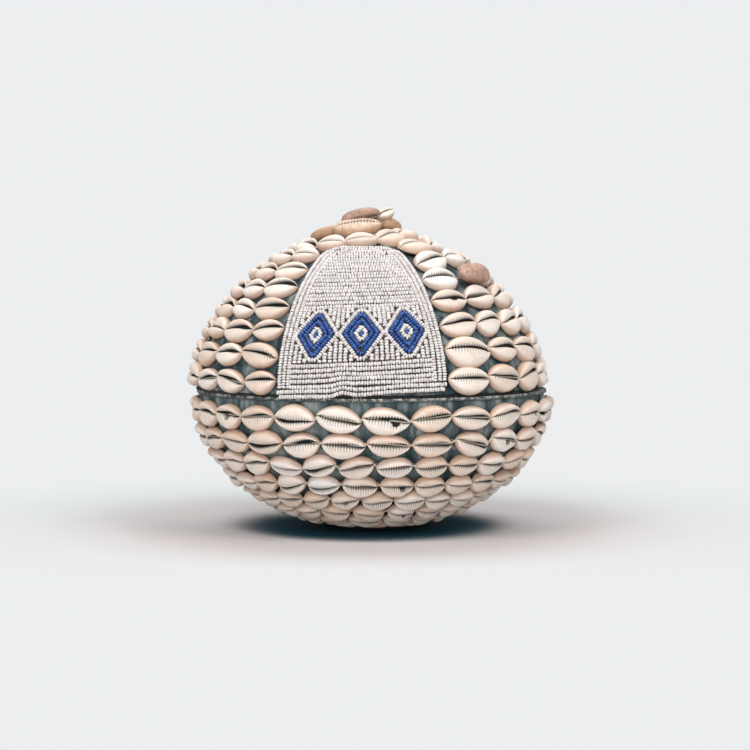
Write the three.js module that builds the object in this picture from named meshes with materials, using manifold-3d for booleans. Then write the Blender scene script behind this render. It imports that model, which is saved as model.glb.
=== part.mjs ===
// Lidded calabash bowl, covered in strung cowrie shells, with a beaded panel on the lid.
// Millimetres, +Z up. The origin is the middle of the flat underside that the bowl rests on,
// and the beaded panel faces -Y. An azimuth is measured from -Y and grows towards +X.

import * as THREE from 'three';
import { mergeVertices } from 'three/addons/utils/BufferGeometryUtils.js';
import Module from 'manifold-3d';

const wasm = await Module();
wasm.setup();

// Whole object
const SEAM_HEIGHT = 81; // rest face to the plane where bowl and lid meet
const BOWL_RADIUS = 100.7; // outside of the bowl's cloth at its rim
const LID_STEP_IN = 1; // the lid's cloth is this much nearer its own axis at the rim
const LID_HEIGHT = 88; // lid rim to the top of the lid's cloth
const LID_OFFSET = 2; // the lid sits this far to -X on the bowl
const BOWL_FULLNESS = 2; // exponent of the bowl's profile, 2 is an ellipse
const LID_FULLNESS = 1.8; // a little more pointed than an ellipse

// Walls and layers
const GOURD_WALL = 5;
const CLOTH = 1; // cloth glued over the outside of the gourd
const GAP = 0.3; // between pieces that touch
const BINDING = 0.9; // tape and facing on the two rims
const BINDING_LEG = 2; // how far the bowl's tape comes down outside
const FACING_OVERHANG = 0.5;

// Base pad, a leather disc
const PAD_RADIUS = 20;
const PAD_THICKNESS = 4.5; // at its middle, so the rest face lies this far under the cloth
const PAD_BEVEL = 0.8;

// Seat collar, a leather strip inside the bowl's rim that the lid slips over
const COLLAR_DEPTH = 9;
const COLLAR_RISE = 5;
const COLLAR_THICKNESS = 2.6;
const SEAT_CLEARANCE = 0.4; // at the tight side of the offset lid

// Rows of cowries
const SHELL_HEIGHT = 6;
const SHELL_TOP_SHARE = 0.45; // flat top width against base width
const SHOULDER = 0.84; // size of a shell near its ends against its middle
const SHELL_LIFT = 0.35; // underside above the cloth
const THREAD_HALF = 0.7;
const THREAD_HEIGHT = 1.2;
const LID_LEAN = 10; // the rows lean over to +X by up to this much at the crown
const BOWL_ROW_GAP = 0.6;
const LID_ROW_GAP = 1.7;
const BOWL_RIM_MARGIN = 2.6; // bare cloth under the bowl's rim
const LID_RIM_MARGIN = 0.6;
const PAD_MARGIN = 1.8; // between the last row and the base pad

// Rows round the bowl from its rim down: a shell with its stretch of thread, and the azimuth
// of one shell's middle in degrees. The shells are smaller towards the base.
const BOWL_ROWS = [
  { pitch: 24.6, azimuth: 4 },
  { pitch: 24.4, azimuth: 5.6 },
  { pitch: 21, azimuth: 7.9 },
  { pitch: 19.9, azimuth: -4.8 },
  { pitch: 17.8, azimuth: 2.5 },
  { pitch: 17.7, azimuth: -2.5 },
  { pitch: 18.3, azimuth: -5.4 },
  { pitch: 19, azimuth: 6 },
];

// Rows on the lid from its rim up: a shell with its stretch of thread. The last row goes all
// the way round over the panel.
const LID_ROWS = [24.2, 24.2, 23.6, 23.2, 22.6, 23, 20.5, 18.6];
const TOP_ROW_AZIMUTH = -5; // of one shell's middle in the last row, in degrees

// Crown of larger cowries on top. The lower three lie on the slope round the middle of the
// lid, and the upper three lie level on them. Each place is from the lid's axis, and turn is
// about Z.
const CROWN_MARGIN = 0.3; // to the row of shells round it
const CROWN_LIFT = 0.4; // underside above the cloth

const LOWER_CROWN = [
  { name: 'front', length: 29, width: 16, height: 9, turn: 0, place: [-6, -10.3] },
  { name: 'right', length: 24, width: 14, height: 8.8, turn: 100, place: [5.5, 7.5] },
  { name: 'left', length: 22, width: 13, height: 7.6, turn: 125, place: [-19, 8] },
];
const UPPER_CROWN = [
  { name: 'top', length: 24, width: 7.4, height: 7, turn: 4, place: [-3.6, -5.4] },
  { name: 'side', length: 15, width: 7, height: 6.6, turn: 84, place: [11.6, 3] },
  { name: 'back', length: 21, width: 11, height: 6, turn: -6, place: [-2, 8.6] },
];

// Beaded panel
const PANEL_ASIDE = 3.5; // the panel's middle line lies this far to -X of the lid's axis
const PANEL_HALF_ANGLE = 27; // degrees, at the rim
const PANEL_FLARE = 1.5; // added to the half angle by PANEL_FLARE_END
const PANEL_FLARE_END = 75; // distance up the lid
const PANEL_RIM_MARGIN = 1.2;
const PANEL_TOP_MARGIN = 2; // to the row of shells over it
const PANEL_SIDE_MARGIN = 0.6; // to the rows of shells beside it
const PANEL_CORNER = 11;
const BACKING = 0.8;
const BACKING_LIFT = 0.5; // underside above the cloth, at the corners of its facets
const BEAD_DIAMETER = 2.3;
const STRAND_PITCH = 2.6;
const BORDER_STRANDS = 3;
const BORDER_STOP = 8; // the side strands stop this far short of the panel's top
const BAND_START = 18.5;
const BAND_END = 50;
const LOZENGE_MARGIN = 0.5; // from an outer lozenge to the side strands
const LOZENGE_HALF_WIDTH = 10.4;
const LOZENGE_HALF_HEIGHT = 13;
const LOZENGE_TIP = 1.3; // half width at its two tips

// Fineness
const SEGMENTS = 40;
const FACET = 15; // longest facet along a dome's profile
const PROFILE_STEPS = 600;

const LID_RADIUS = BOWL_RADIUS - LID_STEP_IN;
const RIM_STEP = BINDING + GAP;
const BOWL_RIM = SEAM_HEIGHT - RIM_STEP;
const LID_RIM = SEAM_HEIGHT + GAP + RIM_STEP;
const GOURD_OUTSIDE = -(CLOTH + GAP);
const GOURD_INSIDE = GOURD_OUTSIDE - GOURD_WALL;
const BEADS_UNDER = BACKING_LIFT + BACKING + GAP;
const BEADS_OVER = BEADS_UNDER + BEAD_DIAMETER;

const radians = THREE.MathUtils.degToRad;

// Outside of the cloth as a curve in the (radius, height) plane, from the rim to the axis.
// at(s) gives the point at distance s from the rim along the curve, the direction of the curve
// there and the normal that points away from the gourd.
class Profile {
  constructor(radius, rise, fullness, rim, side) {
    this.points = [];
    this.lengths = [0];
    for (let i = 0; i <= PROFILE_STEPS; i++) {
      const t = (Math.PI / 2) * (i / PROFILE_STEPS);
      const r = radius * Math.max(Math.cos(t), 0) ** (2 / fullness);
      const z = rim + side * rise * Math.sin(t) ** (2 / fullness);
      this.points.push(new THREE.Vector2(i === PROFILE_STEPS ? 0 : r, z));
    }
    for (let i = 1; i <= PROFILE_STEPS; i++) {
      this.lengths.push(this.lengths[i - 1] + this.points[i].distanceTo(this.points[i - 1]));
    }
    this.length = this.lengths[PROFILE_STEPS];
    this.side = side;
    this.steps = Math.ceil(this.length / FACET);
  }

  at(s) {
    let i = this.lengths.findIndex((length) => length >= s);
    if (i < 0) i = PROFILE_STEPS;
    i = Math.max(i, 1);
    const share = (s - this.lengths[i - 1]) / (this.lengths[i] - this.lengths[i - 1]);
    const point = this.points[i - 1].clone().lerp(this.points[i], share);
    const first = this.points[Math.max(i - 6, 0)];
    const last = this.points[Math.min(i + 5, PROFILE_STEPS)];
    const along = last.clone().sub(first).normalize();
    if (s <= 0) along.set(0, this.side);
    if (s >= this.length) along.set(-1, 0);
    const normal = new THREE.Vector2(along.y * this.side, -along.x * this.side);
    return { point, along, normal };
  }

  // The curve moved outwards by offset, from distance start to the axis.
  offset(offset, start = 0, steps = this.steps) {
    const line = [];
    for (let i = 0; i <= steps; i++) {
      const { point, normal } = this.at(THREE.MathUtils.lerp(start, this.length, i / steps));
      line.push(new THREE.Vector2(point.x + normal.x * offset, point.y + normal.y * offset));
    }
    line[steps].x = 0;
    return line;
  }
}

const bowlProfile = new Profile(
  BOWL_RADIUS, BOWL_RIM - PAD_THICKNESS - GAP, BOWL_FULLNESS, BOWL_RIM, -1);
const lidProfile = new Profile(LID_RADIUS, LID_HEIGHT, LID_FULLNESS, LID_RIM, 1);

// The bare middle that a lower crown shell needs inside the leaning rows, from points round it.
function crownReach({ length, width, turn, place: [x, y] }) {
  const [dx, dy] = [Math.cos(radians(turn)), Math.sin(radians(turn))];
  return Math.max(...Array.from({ length: 24 }, (_, k) => {
    const along = (length / 2) * Math.cos((k * Math.PI) / 12);
    const across = (width / 2) * Math.sin((k * Math.PI) / 12);
    const [px, py] = [x + along * dx - across * dy, y + along * dy + across * dx];
    const r = Math.hypot(px, py);
    return r + (LID_LEAN * px) / r;
  }));
}

const crownRadius = Math.max(...LOWER_CROWN.map(crownReach)) + CROWN_MARGIN;

// Rows share out the curve between the rim margin and the bare middle.
function layOutRows(profile, rows, rimMargin, bareMiddle, rowGap) {
  const pitch = (profile.length - rimMargin - bareMiddle + rowGap) / rows;
  const half = (pitch - rowGap) / 2;
  const centres = Array.from({ length: rows }, (_, i) => rimMargin + half + i * pitch);
  return { centres, half };
}

const bowlRows = layOutRows(
  bowlProfile, BOWL_ROWS.length, BOWL_RIM_MARGIN, PAD_RADIUS + PAD_MARGIN, BOWL_ROW_GAP);
const lidRows = layOutRows(
  lidProfile, LID_ROWS.length, LID_RIM_MARGIN, crownRadius, LID_ROW_GAP);

// A repeatable number from 0 to 1 for shell number shell of row row.
function chance(row, shell) {
  const value = Math.sin(row * 12.9898 + shell * 78.233) * 43758.5453;
  return value - Math.floor(value);
}

// Point at an azimuth on a profile, moved along the curve by up and outwards by out.
function onProfile(profile, s, azimuth, up = 0, out = 0) {
  const { point, along, normal } = profile.at(s);
  const r = point.x + along.x * up + normal.x * out;
  const z = point.y + along.y * up + normal.y * out;
  return [r * Math.sin(azimuth), -r * Math.cos(azimuth), z];
}

// Merges shared corners, drops flat triangles and turns the faces outwards.
function closed(geometry) {
  geometry.deleteAttribute('normal');
  geometry.deleteAttribute('uv');
  const merged = mergeVertices(geometry, 1e-4);
  const source = merged.index.array;
  const kept = [];
  for (let i = 0; i < source.length; i += 3) {
    const [a, b, c] = [source[i], source[i + 1], source[i + 2]];
    if (a !== b && b !== c && c !== a) kept.push(a, b, c);
  }
  const corner = [new THREE.Vector3(), new THREE.Vector3(), new THREE.Vector3()];
  let volume = 0;
  for (let i = 0; i < kept.length; i += 3) {
    corner.forEach((v, k) => v.fromBufferAttribute(merged.attributes.position, kept[i + k]));
    volume += corner[0].dot(corner[1].clone().cross(corner[2]));
  }
  if (volume < 0) {
    for (let i = 0; i < kept.length; i += 3) {
      [kept[i], kept[i + 1]] = [kept[i + 1], kept[i]];
    }
  }
  merged.setIndex(kept);
  return merged;
}

function fromLists(positions, indices) {
  const geometry = new THREE.BufferGeometry();
  geometry.setAttribute('position', new THREE.Float32BufferAttribute(positions.flat(), 3));
  geometry.setIndex(indices);
  return closed(geometry);
}

// Solid of revolution about Z. A segment edge lies at azimuth 0.
function turned(outline) {
  const geometry = new THREE.LatheGeometry(outline, SEGMENTS);
  geometry.rotateX(Math.PI / 2);
  return closed(geometry);
}

// Ring of revolution, from an outline that is closed by its first corner.
function turnedRing(corners) {
  const outline = corners.map(([r, z]) => new THREE.Vector2(r, z));
  return turned([...outline, outline[0].clone()]);
}

// Dome of even thickness that follows a profile from its rim, between two offsets.
function dome(profile, inside, outside) {
  const outer = profile.offset(outside);
  const inner = profile.offset(inside);
  return turned([...outer.reverse(), ...inner]);
}

// Skin through rings of equal size. An end face is a list of corner triples of one ring, and
// without one the last ring joins the first.
function throughRings(rings, endFace) {
  const size = rings[0].length;
  const indices = [];
  const spans = endFace ? rings.length - 1 : rings.length;
  for (let j = 0; j < spans; j++) {
    const here = j * size;
    const next = ((j + 1) % rings.length) * size;
    for (let k = 0; k < size; k++) {
      const turn = (k + 1) % size;
      indices.push(here + k, next + k, next + turn, here + k, next + turn, here + turn);
    }
  }
  const last = (rings.length - 1) * size;
  for (const [a, b, c] of endFace ?? []) {
    indices.push(a, b, c, last + a, last + c, last + b);
  }
  return fromLists(rings.flat(), indices);
}

// End face of a convex ring, as a fan from its first corner.
const fan = (size) => Array.from({ length: size - 2 }, (_, k) => [0, k + 1, k + 2]);

// End face of a ring that runs out along columns and comes back above them.
function ladder(columns) {
  return Array.from({ length: columns }, (_, k) => {
    const back = 2 * columns + 1 - k;
    return [[k, k + 1, back - 1], [k, back - 1, back]];
  }).flat();
}

// A leaning row is this far from the rim at an azimuth, where lean is how much it leans.
const leaning = (s, lean, azimuth) => s + lean * Math.sin(azimuth);

// Azimuths of even stretches of a leaning row, and the length of the row.
function evenStretches(profile, s, lean, start, sweep) {
  const steps = 360;
  const lengths = [0];
  for (let i = 0; i < steps; i++) {
    const azimuth = start + (sweep * (i + 0.5)) / steps;
    const { point, normal } = profile.at(leaning(s, lean, azimuth));
    const radius = point.x + normal.x * (SHELL_LIFT + SHELL_HEIGHT / 2);
    const stretch = Math.hypot(radius, lean * Math.cos(azimuth)) * (sweep / steps);
    lengths.push(lengths[i] + stretch);
  }
  const azimuthAt = (share) => {
    const length = share * lengths[steps];
    const i = Math.max(lengths.findIndex((value) => value >= length), 1);
    const part = (length - lengths[i - 1]) / (lengths[i] - lengths[i - 1]);
    return start + (sweep * (i - 1 + part)) / steps;
  };
  return { length: lengths[steps], azimuthAt };
}

// One row of cowries on its thread: a pinch of thread, a shoulder, the middle and a shoulder
// for each shell, from azimuth start over a sweep, closed where the sweep is a full turn. Where
// the row leans, growth is added to its half width at +X and taken off at -X.
function shellRow(profile, row, { s, half, pitch, start, sweep, lean = 0, growth = 0 }) {
  const full = sweep >= 2 * Math.PI;
  const { length, azimuthAt } = evenStretches(profile, s, lean, start, sweep);
  const fit = length / pitch;
  const count = Math.max(3, full ? Math.round(fit) : Math.floor(fit));
  const section = (azimuth, width, height) => {
    const top = width * SHELL_TOP_SHARE;
    const at = leaning(s, lean, azimuth);
    return [[-width, 0], [width, 0], [top, height], [-top, height]].map(
      ([up, out]) => onProfile(profile, at, azimuth, up, SHELL_LIFT + out));
  };
  const rings = [];
  for (let k = 0; k < count; k++) {
    const size = 0.9 + 0.1 * chance(row, k);
    rings.push(section(azimuthAt(k / count), THREAD_HALF, THREAD_HEIGHT));
    for (const [share, swell] of [[0.2, SHOULDER], [0.5, 1], [0.8, SHOULDER]]) {
      const azimuth = azimuthAt((k + share) / count);
      const widest = half + growth * Math.sin(azimuth);
      rings.push(section(azimuth, widest * size * swell, SHELL_HEIGHT * size * swell));
    }
  }
  if (!full) rings.push(section(start + sweep, THREAD_HALF, THREAD_HEIGHT));
  return throughRings(rings, full ? null : fan(4));
}

// Slab that follows the lid between offsets under and over. Each station is a distance up the
// lid with the azimuths of the slab's two edges there.
function slab(stations, columns, under, over) {
  const rings = stations.map(({ s, left, right }) => {
    const azimuths = Array.from(
      { length: columns + 1 }, (_, i) => THREE.MathUtils.lerp(left, right, i / columns));
    return [
      ...azimuths.map((azimuth) => onProfile(lidProfile, s, azimuth, 0, under)),
      ...azimuths.reverse().map((azimuth) => onProfile(lidProfile, s, azimuth, 0, over)),
    ];
  });
  return throughRings(rings, ladder(columns));
}

function asManifold(geometry) {
  return new wasm.Manifold(new wasm.Mesh({
    numProp: 3,
    vertProperties: Float32Array.from(geometry.attributes.position.array),
    triVerts: Uint32Array.from(geometry.index.array),
  }));
}

function cutFrom(geometry, cutters) {
  const solid = cutters.reduce((rest, cutter) => rest.subtract(asManifold(cutter)),
    asManifold(geometry));
  const mesh = solid.getMesh();
  const result = new THREE.BufferGeometry();
  result.setAttribute('position', new THREE.BufferAttribute(mesh.vertProperties, 3));
  result.setIndex(new THREE.BufferAttribute(mesh.triVerts, 1));
  return result;
}

const material = (color, roughness) =>
  new THREE.MeshStandardMaterial({ color, roughness, metalness: 0 });
const finish = {
  gourd: material(0xa9773f, 0.6),
  cloth: material(0x8f857d, 0.85),
  tape: material(0xd8cbb4, 0.85),
  leather: material(0x2c2622, 0.7),
  padLeather: material(0x4a3628, 0.7),
  shell: material(0xecd2b8, 0.35),
  crownShell: material(0xe3bd98, 0.35),
  whiteBead: material(0xe4d9d6, 0.25),
  blueBead: material(0x12349c, 0.25),
};

function add(group, name, geometry, look) {
  const mesh = new THREE.Mesh(geometry, look);
  mesh.name = name;
  group.add(mesh);
  return mesh;
}

// The cut calabash halves and the cloth glued over them.
function addHalf(group, name, profile) {
  add(group, `${name}_gourd`, dome(profile, GOURD_INSIDE, GOURD_OUTSIDE), finish.gourd);
  add(group, `${name}_cover`, dome(profile, -CLOTH, 0), finish.cloth);
}

// Tape folded over the bowl's rim: a flat web on the rim and a leg down the outside.
function bowlRimBinding() {
  const inside = BOWL_RADIUS + GOURD_INSIDE;
  const legInside = BOWL_RADIUS + GAP;
  return turnedRing([
    [inside, BOWL_RIM + GAP],
    [legInside, BOWL_RIM + GAP],
    [legInside, SEAM_HEIGHT - BINDING_LEG],
    [legInside + BINDING, SEAM_HEIGHT - BINDING_LEG],
    [legInside + BINDING, SEAM_HEIGHT],
    [inside, SEAM_HEIGHT],
  ]);
}

// Dark facing strip glued under the lid's rim, which shows as the dark line at the seam.
function lidRimFacing() {
  const inside = LID_RADIUS + GOURD_INSIDE;
  const outside = LID_RADIUS + FACING_OVERHANG;
  const [under, over] = [SEAM_HEIGHT + GAP, LID_RIM - GAP];
  return turnedRing([[inside, under], [outside, under], [outside, over], [inside, over]]);
}

// The collar hugs the bowl's inner wall and steps in above the rim to clear the offset lid.
function seatCollar() {
  const innerWall = bowlProfile.offset(GOURD_INSIDE);
  const share = (COLLAR_DEPTH * bowlProfile.steps) / bowlProfile.length;
  const low = innerWall[0].clone().lerp(innerWall[1], share);
  const lowOutside = low.x - GAP;
  const wall = BOWL_RADIUS + GOURD_INSIDE - GAP;
  const top = SEAM_HEIGHT + COLLAR_RISE;
  const [lidEdge, lidNext] = lidProfile.offset(GOURD_INSIDE);
  const lidWall = lidEdge.clone().lerp(lidNext, (top - lidEdge.y) / (lidNext.y - lidEdge.y));
  const flat = Math.cos(Math.PI / SEGMENTS); // a facet's middle lies this much nearer the axis
  const proud = lidWall.x * flat - LID_OFFSET - SEAT_CLEARANCE;
  return turnedRing([
    [lowOutside, low.y],
    [wall, BOWL_RIM - GAP],
    [proud, SEAM_HEIGHT],
    [proud, top],
    [proud - COLLAR_THICKNESS, top],
    [proud - COLLAR_THICKNESS, SEAM_HEIGHT - COLLAR_THICKNESS / 2],
    [wall - COLLAR_THICKNESS, BOWL_RIM - GAP - COLLAR_THICKNESS / 2],
    [lowOutside - COLLAR_THICKNESS, low.y],
  ]);
}

// Leather disc whose top is dished to the bowl and whose underside is the rest face.
function basePad() {
  const steps = 5;
  const start = bowlProfile.length - PAD_RADIUS;
  const top = bowlProfile.offset(GAP, start, steps);
  top[0].x = Math.min(top[0].x, PAD_RADIUS);
  return turned([
    new THREE.Vector2(0, 0),
    new THREE.Vector2(PAD_RADIUS - PAD_BEVEL, 0),
    new THREE.Vector2(PAD_RADIUS, PAD_BEVEL),
    ...top,
  ]);
}

// Azimuth of the panel's middle line at distance s up the lid.
const panelMiddle = (s) => -Math.asin(Math.min(PANEL_ASIDE / lidProfile.at(s).point.x, 1));

// Half angle of the panel at distance s up the lid, and with its two top corners rounded.
function wedgeAngle(s) {
  const flare = Math.min(s / PANEL_FLARE_END, 1);
  return radians(PANEL_HALF_ANGLE + PANEL_FLARE * flare);
}

const rowLean = (i) => (LID_LEAN * (i + 0.5)) / LID_ROWS.length;
const topRow = lidRows.centres[LID_ROWS.length - 1];
const overPanel = leaning(topRow, rowLean(LID_ROWS.length - 1), panelMiddle(topRow));
const panelTop = overPanel - lidRows.half - PANEL_TOP_MARGIN;
const borderEnd = panelTop - BORDER_STOP;

function panelHalfAngle(s) {
  const reach = s - (panelTop - PANEL_CORNER);
  if (reach <= 0) return wedgeAngle(s);
  const short = PANEL_CORNER - Math.sqrt(Math.max(PANEL_CORNER ** 2 - reach ** 2, 0));
  return wedgeAngle(s) - short / lidProfile.at(s).point.x;
}

// Stations of a slab between two distances, from the half angle at each.
function evenStations(start, end, steps, halfAngle) {
  return Array.from({ length: steps + 1 }, (_, i) => {
    const s = THREE.MathUtils.lerp(start, end, i / steps);
    const middle = panelMiddle(s);
    return { s, left: middle - halfAngle(s), right: middle + halfAngle(s) };
  });
}

const borderWidth = BORDER_STRANDS * STRAND_PITCH;
const angleOf = (width, s) => width / lidProfile.at(s).point.x;
const fieldHalfAngle = (s) => panelHalfAngle(s) - angleOf(borderWidth + GAP, s);

function panelBorder(side) {
  const stations = evenStations(PANEL_RIM_MARGIN, borderEnd - GAP, 9, panelHalfAngle);
  const strip = stations.map(({ s, left, right }) => (side < 0
    ? { s, left, right: left + angleOf(borderWidth, s) }
    : { s, left: right - angleOf(borderWidth, s), right }));
  return slab(strip, 1, BEADS_UNDER, BEADS_OVER);
}

// The upper field is narrow between the side strands and full width above their ends.
function upperBeads() {
  const between = evenStations(BAND_END + GAP / 2, borderEnd, 5, fieldHalfAngle);
  const above = evenStations(borderEnd + GAP / 10, panelTop, 6, panelHalfAngle);
  return slab([...between, ...above], 8, BEADS_UNDER, BEADS_OVER);
}

function lozenge(place, grown, under, over) {
  const middle = (BAND_START + BAND_END) / 2;
  const spacing = fieldHalfAngle(middle) - angleOf(LOZENGE_HALF_WIDTH + LOZENGE_MARGIN, middle);
  const shares = [-1, -0.5, 0, 0.5, 1];
  const stations = shares.map((share) => {
    const s = middle + share * (LOZENGE_HALF_HEIGHT + grown);
    const width = LOZENGE_TIP + (LOZENGE_HALF_WIDTH - LOZENGE_TIP) * (1 - Math.abs(share));
    const centre = panelMiddle(s) + place * spacing;
    const reach = angleOf(width + grown * 1.4, s);
    return { s, left: centre - reach, right: centre + reach };
  });
  return slab(stations, 2, under, over);
}

function bandBeads() {
  const field = evenStations(BAND_START + GAP / 2, BAND_END - GAP / 2, 5, fieldHalfAngle);
  const cutters = [-1, 0, 1].map(
    (place) => lozenge(place, GAP, BEADS_UNDER - 1, BEADS_OVER + 1));
  return cutFrom(slab(field, 14, BEADS_UNDER, BEADS_OVER), cutters);
}

function lowerBeads() {
  const stations = evenStations(PANEL_RIM_MARGIN, BAND_START - GAP / 2, 3, fieldHalfAngle);
  return slab(stations, 10, BEADS_UNDER, BEADS_OVER);
}

// One loose cowrie: a lens in plan with a flat base, long axis on X, base in the XY plane.
function loneShell(length, width, height) {
  const shares = [-1, -0.82, -0.45, 0, 0.45, 0.82, 1];
  const rings = shares.map((share) => {
    const swell = Math.max(Math.sqrt(1 - share * share), 0.12);
    const half = (width / 2) * swell;
    const top = height * (0.25 + 0.75 * swell);
    return [[-half, 0], [half, 0], [half, top * 0.35], [half * 0.5, top], [-half * 0.5, top],
      [-half, top * 0.35]].map(([y, z]) => [(share * length) / 2, y, z]);
  });
  return throughRings(rings, fan(6));
}

function addCrown(group) {
  let shelf = 0;
  for (const { name, length, width, height, turn, place } of LOWER_CROWN) {
    const [x, y] = place;
    const { point, normal } = lidProfile.at(lidProfile.length - Math.hypot(x, y));
    const out = new THREE.Vector3(x, y, 0).setLength(normal.x).setZ(normal.y);
    const long = new THREE.Vector3(Math.cos(radians(turn)), Math.sin(radians(turn)), 0);
    long.addScaledVector(out, -long.dot(out)).normalize();
    const wide = out.clone().cross(long);
    const geometry = loneShell(length, width, height);
    const mesh = add(group, `crown_cowrie_${name}`, geometry, finish.crownShell);
    mesh.quaternion.setFromRotationMatrix(new THREE.Matrix4().makeBasis(long, wide, out));
    mesh.position.set(x, y, point.y).addScaledVector(out, CROWN_LIFT);
    const raised = (width / 4) * normal.x;
    shelf = Math.max(shelf, mesh.position.z + height * normal.y + raised + GAP);
  }
  for (const { name, length, width, height, turn, place } of UPPER_CROWN) {
    const geometry = loneShell(length, width, height);
    const mesh = add(group, `crown_cowrie_${name}`, geometry, finish.crownShell);
    mesh.rotation.z = radians(turn);
    mesh.position.set(...place, shelf);
  }
}

function addBowl(group) {
  addHalf(group, 'bowl', bowlProfile);
  add(group, 'bowl_rim_binding', bowlRimBinding(), finish.tape);
  add(group, 'seat_collar', seatCollar(), finish.leather);
  add(group, 'base_pad', basePad(), finish.padLeather);
  bowlRows.centres.forEach((s, i) => {
    const { pitch, azimuth } = BOWL_ROWS[i];
    const start = radians(azimuth) - pitch / bowlProfile.at(s).point.x / 2;
    const row = shellRow(bowlProfile, i + 1,
      { s, half: bowlRows.half, pitch, start, sweep: 2 * Math.PI });
    add(group, `bowl_cowries_row_${i + 1}`, row, finish.shell);
  });
}

function addLid(group) {
  addHalf(group, 'lid', lidProfile);
  add(group, 'lid_rim_facing', lidRimFacing(), finish.leather);
  const growth = LID_LEAN / LID_ROWS.length / 2;
  lidRows.centres.forEach((s, i) => {
    const pitch = LID_ROWS[i];
    const lean = rowLean(i);
    const edgeAt = (side) => {
      const at = leaning(s, lean, panelMiddle(s) + side * wedgeAngle(s));
      return Math.max(...[at - lidRows.half, at + lidRows.half].map((end) =>
        wedgeAngle(end) + side * panelMiddle(end) + angleOf(PANEL_SIDE_MARGIN, end)));
    };
    let start = edgeAt(1);
    let sweep = 2 * Math.PI - edgeAt(1) - edgeAt(-1);
    if (i === LID_ROWS.length - 1) {
      const middle = radians(TOP_ROW_AZIMUTH);
      start = middle - angleOf(pitch / 2, leaning(s, lean, middle));
      sweep = 2 * Math.PI;
    }
    const row = shellRow(lidProfile, BOWL_ROWS.length + i + 1,
      { s, half: lidRows.half, pitch, start, sweep, lean, growth });
    add(group, `lid_cowries_row_${i + 1}`, row, finish.shell);
  });
  addCrown(group);
}

function addPanel(group) {
  const backing = slab(evenStations(PANEL_RIM_MARGIN, panelTop, 12, panelHalfAngle), 10,
    BACKING_LIFT, BACKING_LIFT + BACKING);
  add(group, 'panel_backing', backing, finish.tape);
  add(group, 'panel_border_left', panelBorder(-1), finish.whiteBead);
  add(group, 'panel_border_right', panelBorder(1), finish.whiteBead);
  add(group, 'panel_beads_upper', upperBeads(), finish.whiteBead);
  add(group, 'panel_beads_band', bandBeads(), finish.whiteBead);
  add(group, 'panel_beads_lower', lowerBeads(), finish.whiteBead);
  ['left', 'middle', 'right'].forEach((name, i) => {
    add(group, `panel_lozenge_${name}`, lozenge(i - 1, 0, BEADS_UNDER, BEADS_OVER),
      finish.blueBead);
  });
}

const calabash = new THREE.Group();
const bowl = new THREE.Group();
const lid = new THREE.Group();
lid.position.x = -LID_OFFSET;
calabash.add(bowl, lid);
addBowl(bowl);
addLid(lid);
addPanel(lid);

export default calabash;
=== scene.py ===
# Looks of the lidded calabash bowl: strung cowries, glued cloth, beadwork, leather and gourd.
# Metres, +Z up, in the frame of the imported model. An azimuth is measured from -Y towards +X,
# and a distance s is measured along the outside of the cloth from a rim to the axis.

import math

import bpy
import numpy as np
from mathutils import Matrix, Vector


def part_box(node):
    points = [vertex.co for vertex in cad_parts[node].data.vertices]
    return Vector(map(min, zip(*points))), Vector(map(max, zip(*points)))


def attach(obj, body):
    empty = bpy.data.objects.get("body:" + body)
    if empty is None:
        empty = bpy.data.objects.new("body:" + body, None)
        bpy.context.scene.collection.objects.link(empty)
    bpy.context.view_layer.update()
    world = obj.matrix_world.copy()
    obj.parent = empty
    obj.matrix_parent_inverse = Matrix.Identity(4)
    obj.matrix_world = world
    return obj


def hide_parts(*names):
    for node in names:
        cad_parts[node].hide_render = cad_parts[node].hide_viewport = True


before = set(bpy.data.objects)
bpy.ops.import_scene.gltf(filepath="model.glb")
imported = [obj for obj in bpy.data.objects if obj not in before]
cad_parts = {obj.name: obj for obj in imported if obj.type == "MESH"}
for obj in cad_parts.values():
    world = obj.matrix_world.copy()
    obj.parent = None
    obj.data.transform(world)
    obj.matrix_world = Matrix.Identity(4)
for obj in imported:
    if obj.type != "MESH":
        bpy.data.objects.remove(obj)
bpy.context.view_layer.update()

mm = 0.001

# Whole object
SEAM_HEIGHT = 81 * mm
BOWL_RADIUS = 100.7 * mm
LID_RADIUS = 99.7 * mm
LID_HEIGHT = 88 * mm
LID_OFFSET = 2 * mm
BOWL_FULLNESS = 2
LID_FULLNESS = 1.8

# Walls and layers
GOURD_WALL = 5 * mm
CLOTH = 1 * mm
GAP = 0.3 * mm
BINDING = 0.9 * mm
BINDING_LEG = 2 * mm
FACING_OVERHANG = 0.5 * mm
COLLAR_WALL = 2.6 * mm
PAD_RADIUS = 20 * mm
PAD_THICKNESS = 4.5 * mm

# Rows of cowries. A bowl row is the pitch of its shells and the azimuth of one of them.
SHELL_HEIGHT = 6 * mm
SHELL_LIFT = 0.35 * mm
BOWL_ROWS = [
    (24.6 * mm, 4), (24.4 * mm, 5.6), (21 * mm, 7.9), (19.9 * mm, -4.8),
    (17.8 * mm, 2.5), (17.7 * mm, -2.5), (18.3 * mm, -5.4), (19 * mm, 6),
]
LID_ROWS = [pitch * mm for pitch in (24.2, 24.2, 23.6, 23.2, 22.6, 23, 20.5, 18.6)]
TOP_ROW_AZIMUTH = -5
LID_LEAN = 10 * mm
BOWL_ROW_GAP = 0.6 * mm
LID_ROW_GAP = 1.7 * mm
BOWL_RIM_MARGIN = 2.6 * mm
LID_RIM_MARGIN = 0.6 * mm
PAD_MARGIN = 1.8 * mm
THREAD_RADIUS = 0.42 * mm
THREAD_HEIGHT = 1.5 * mm
STITCH_RADIUS = 0.2 * mm
STITCH_TURNS = np.radians([-125, -90, -50, 0, 50, 90, 125])

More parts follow.
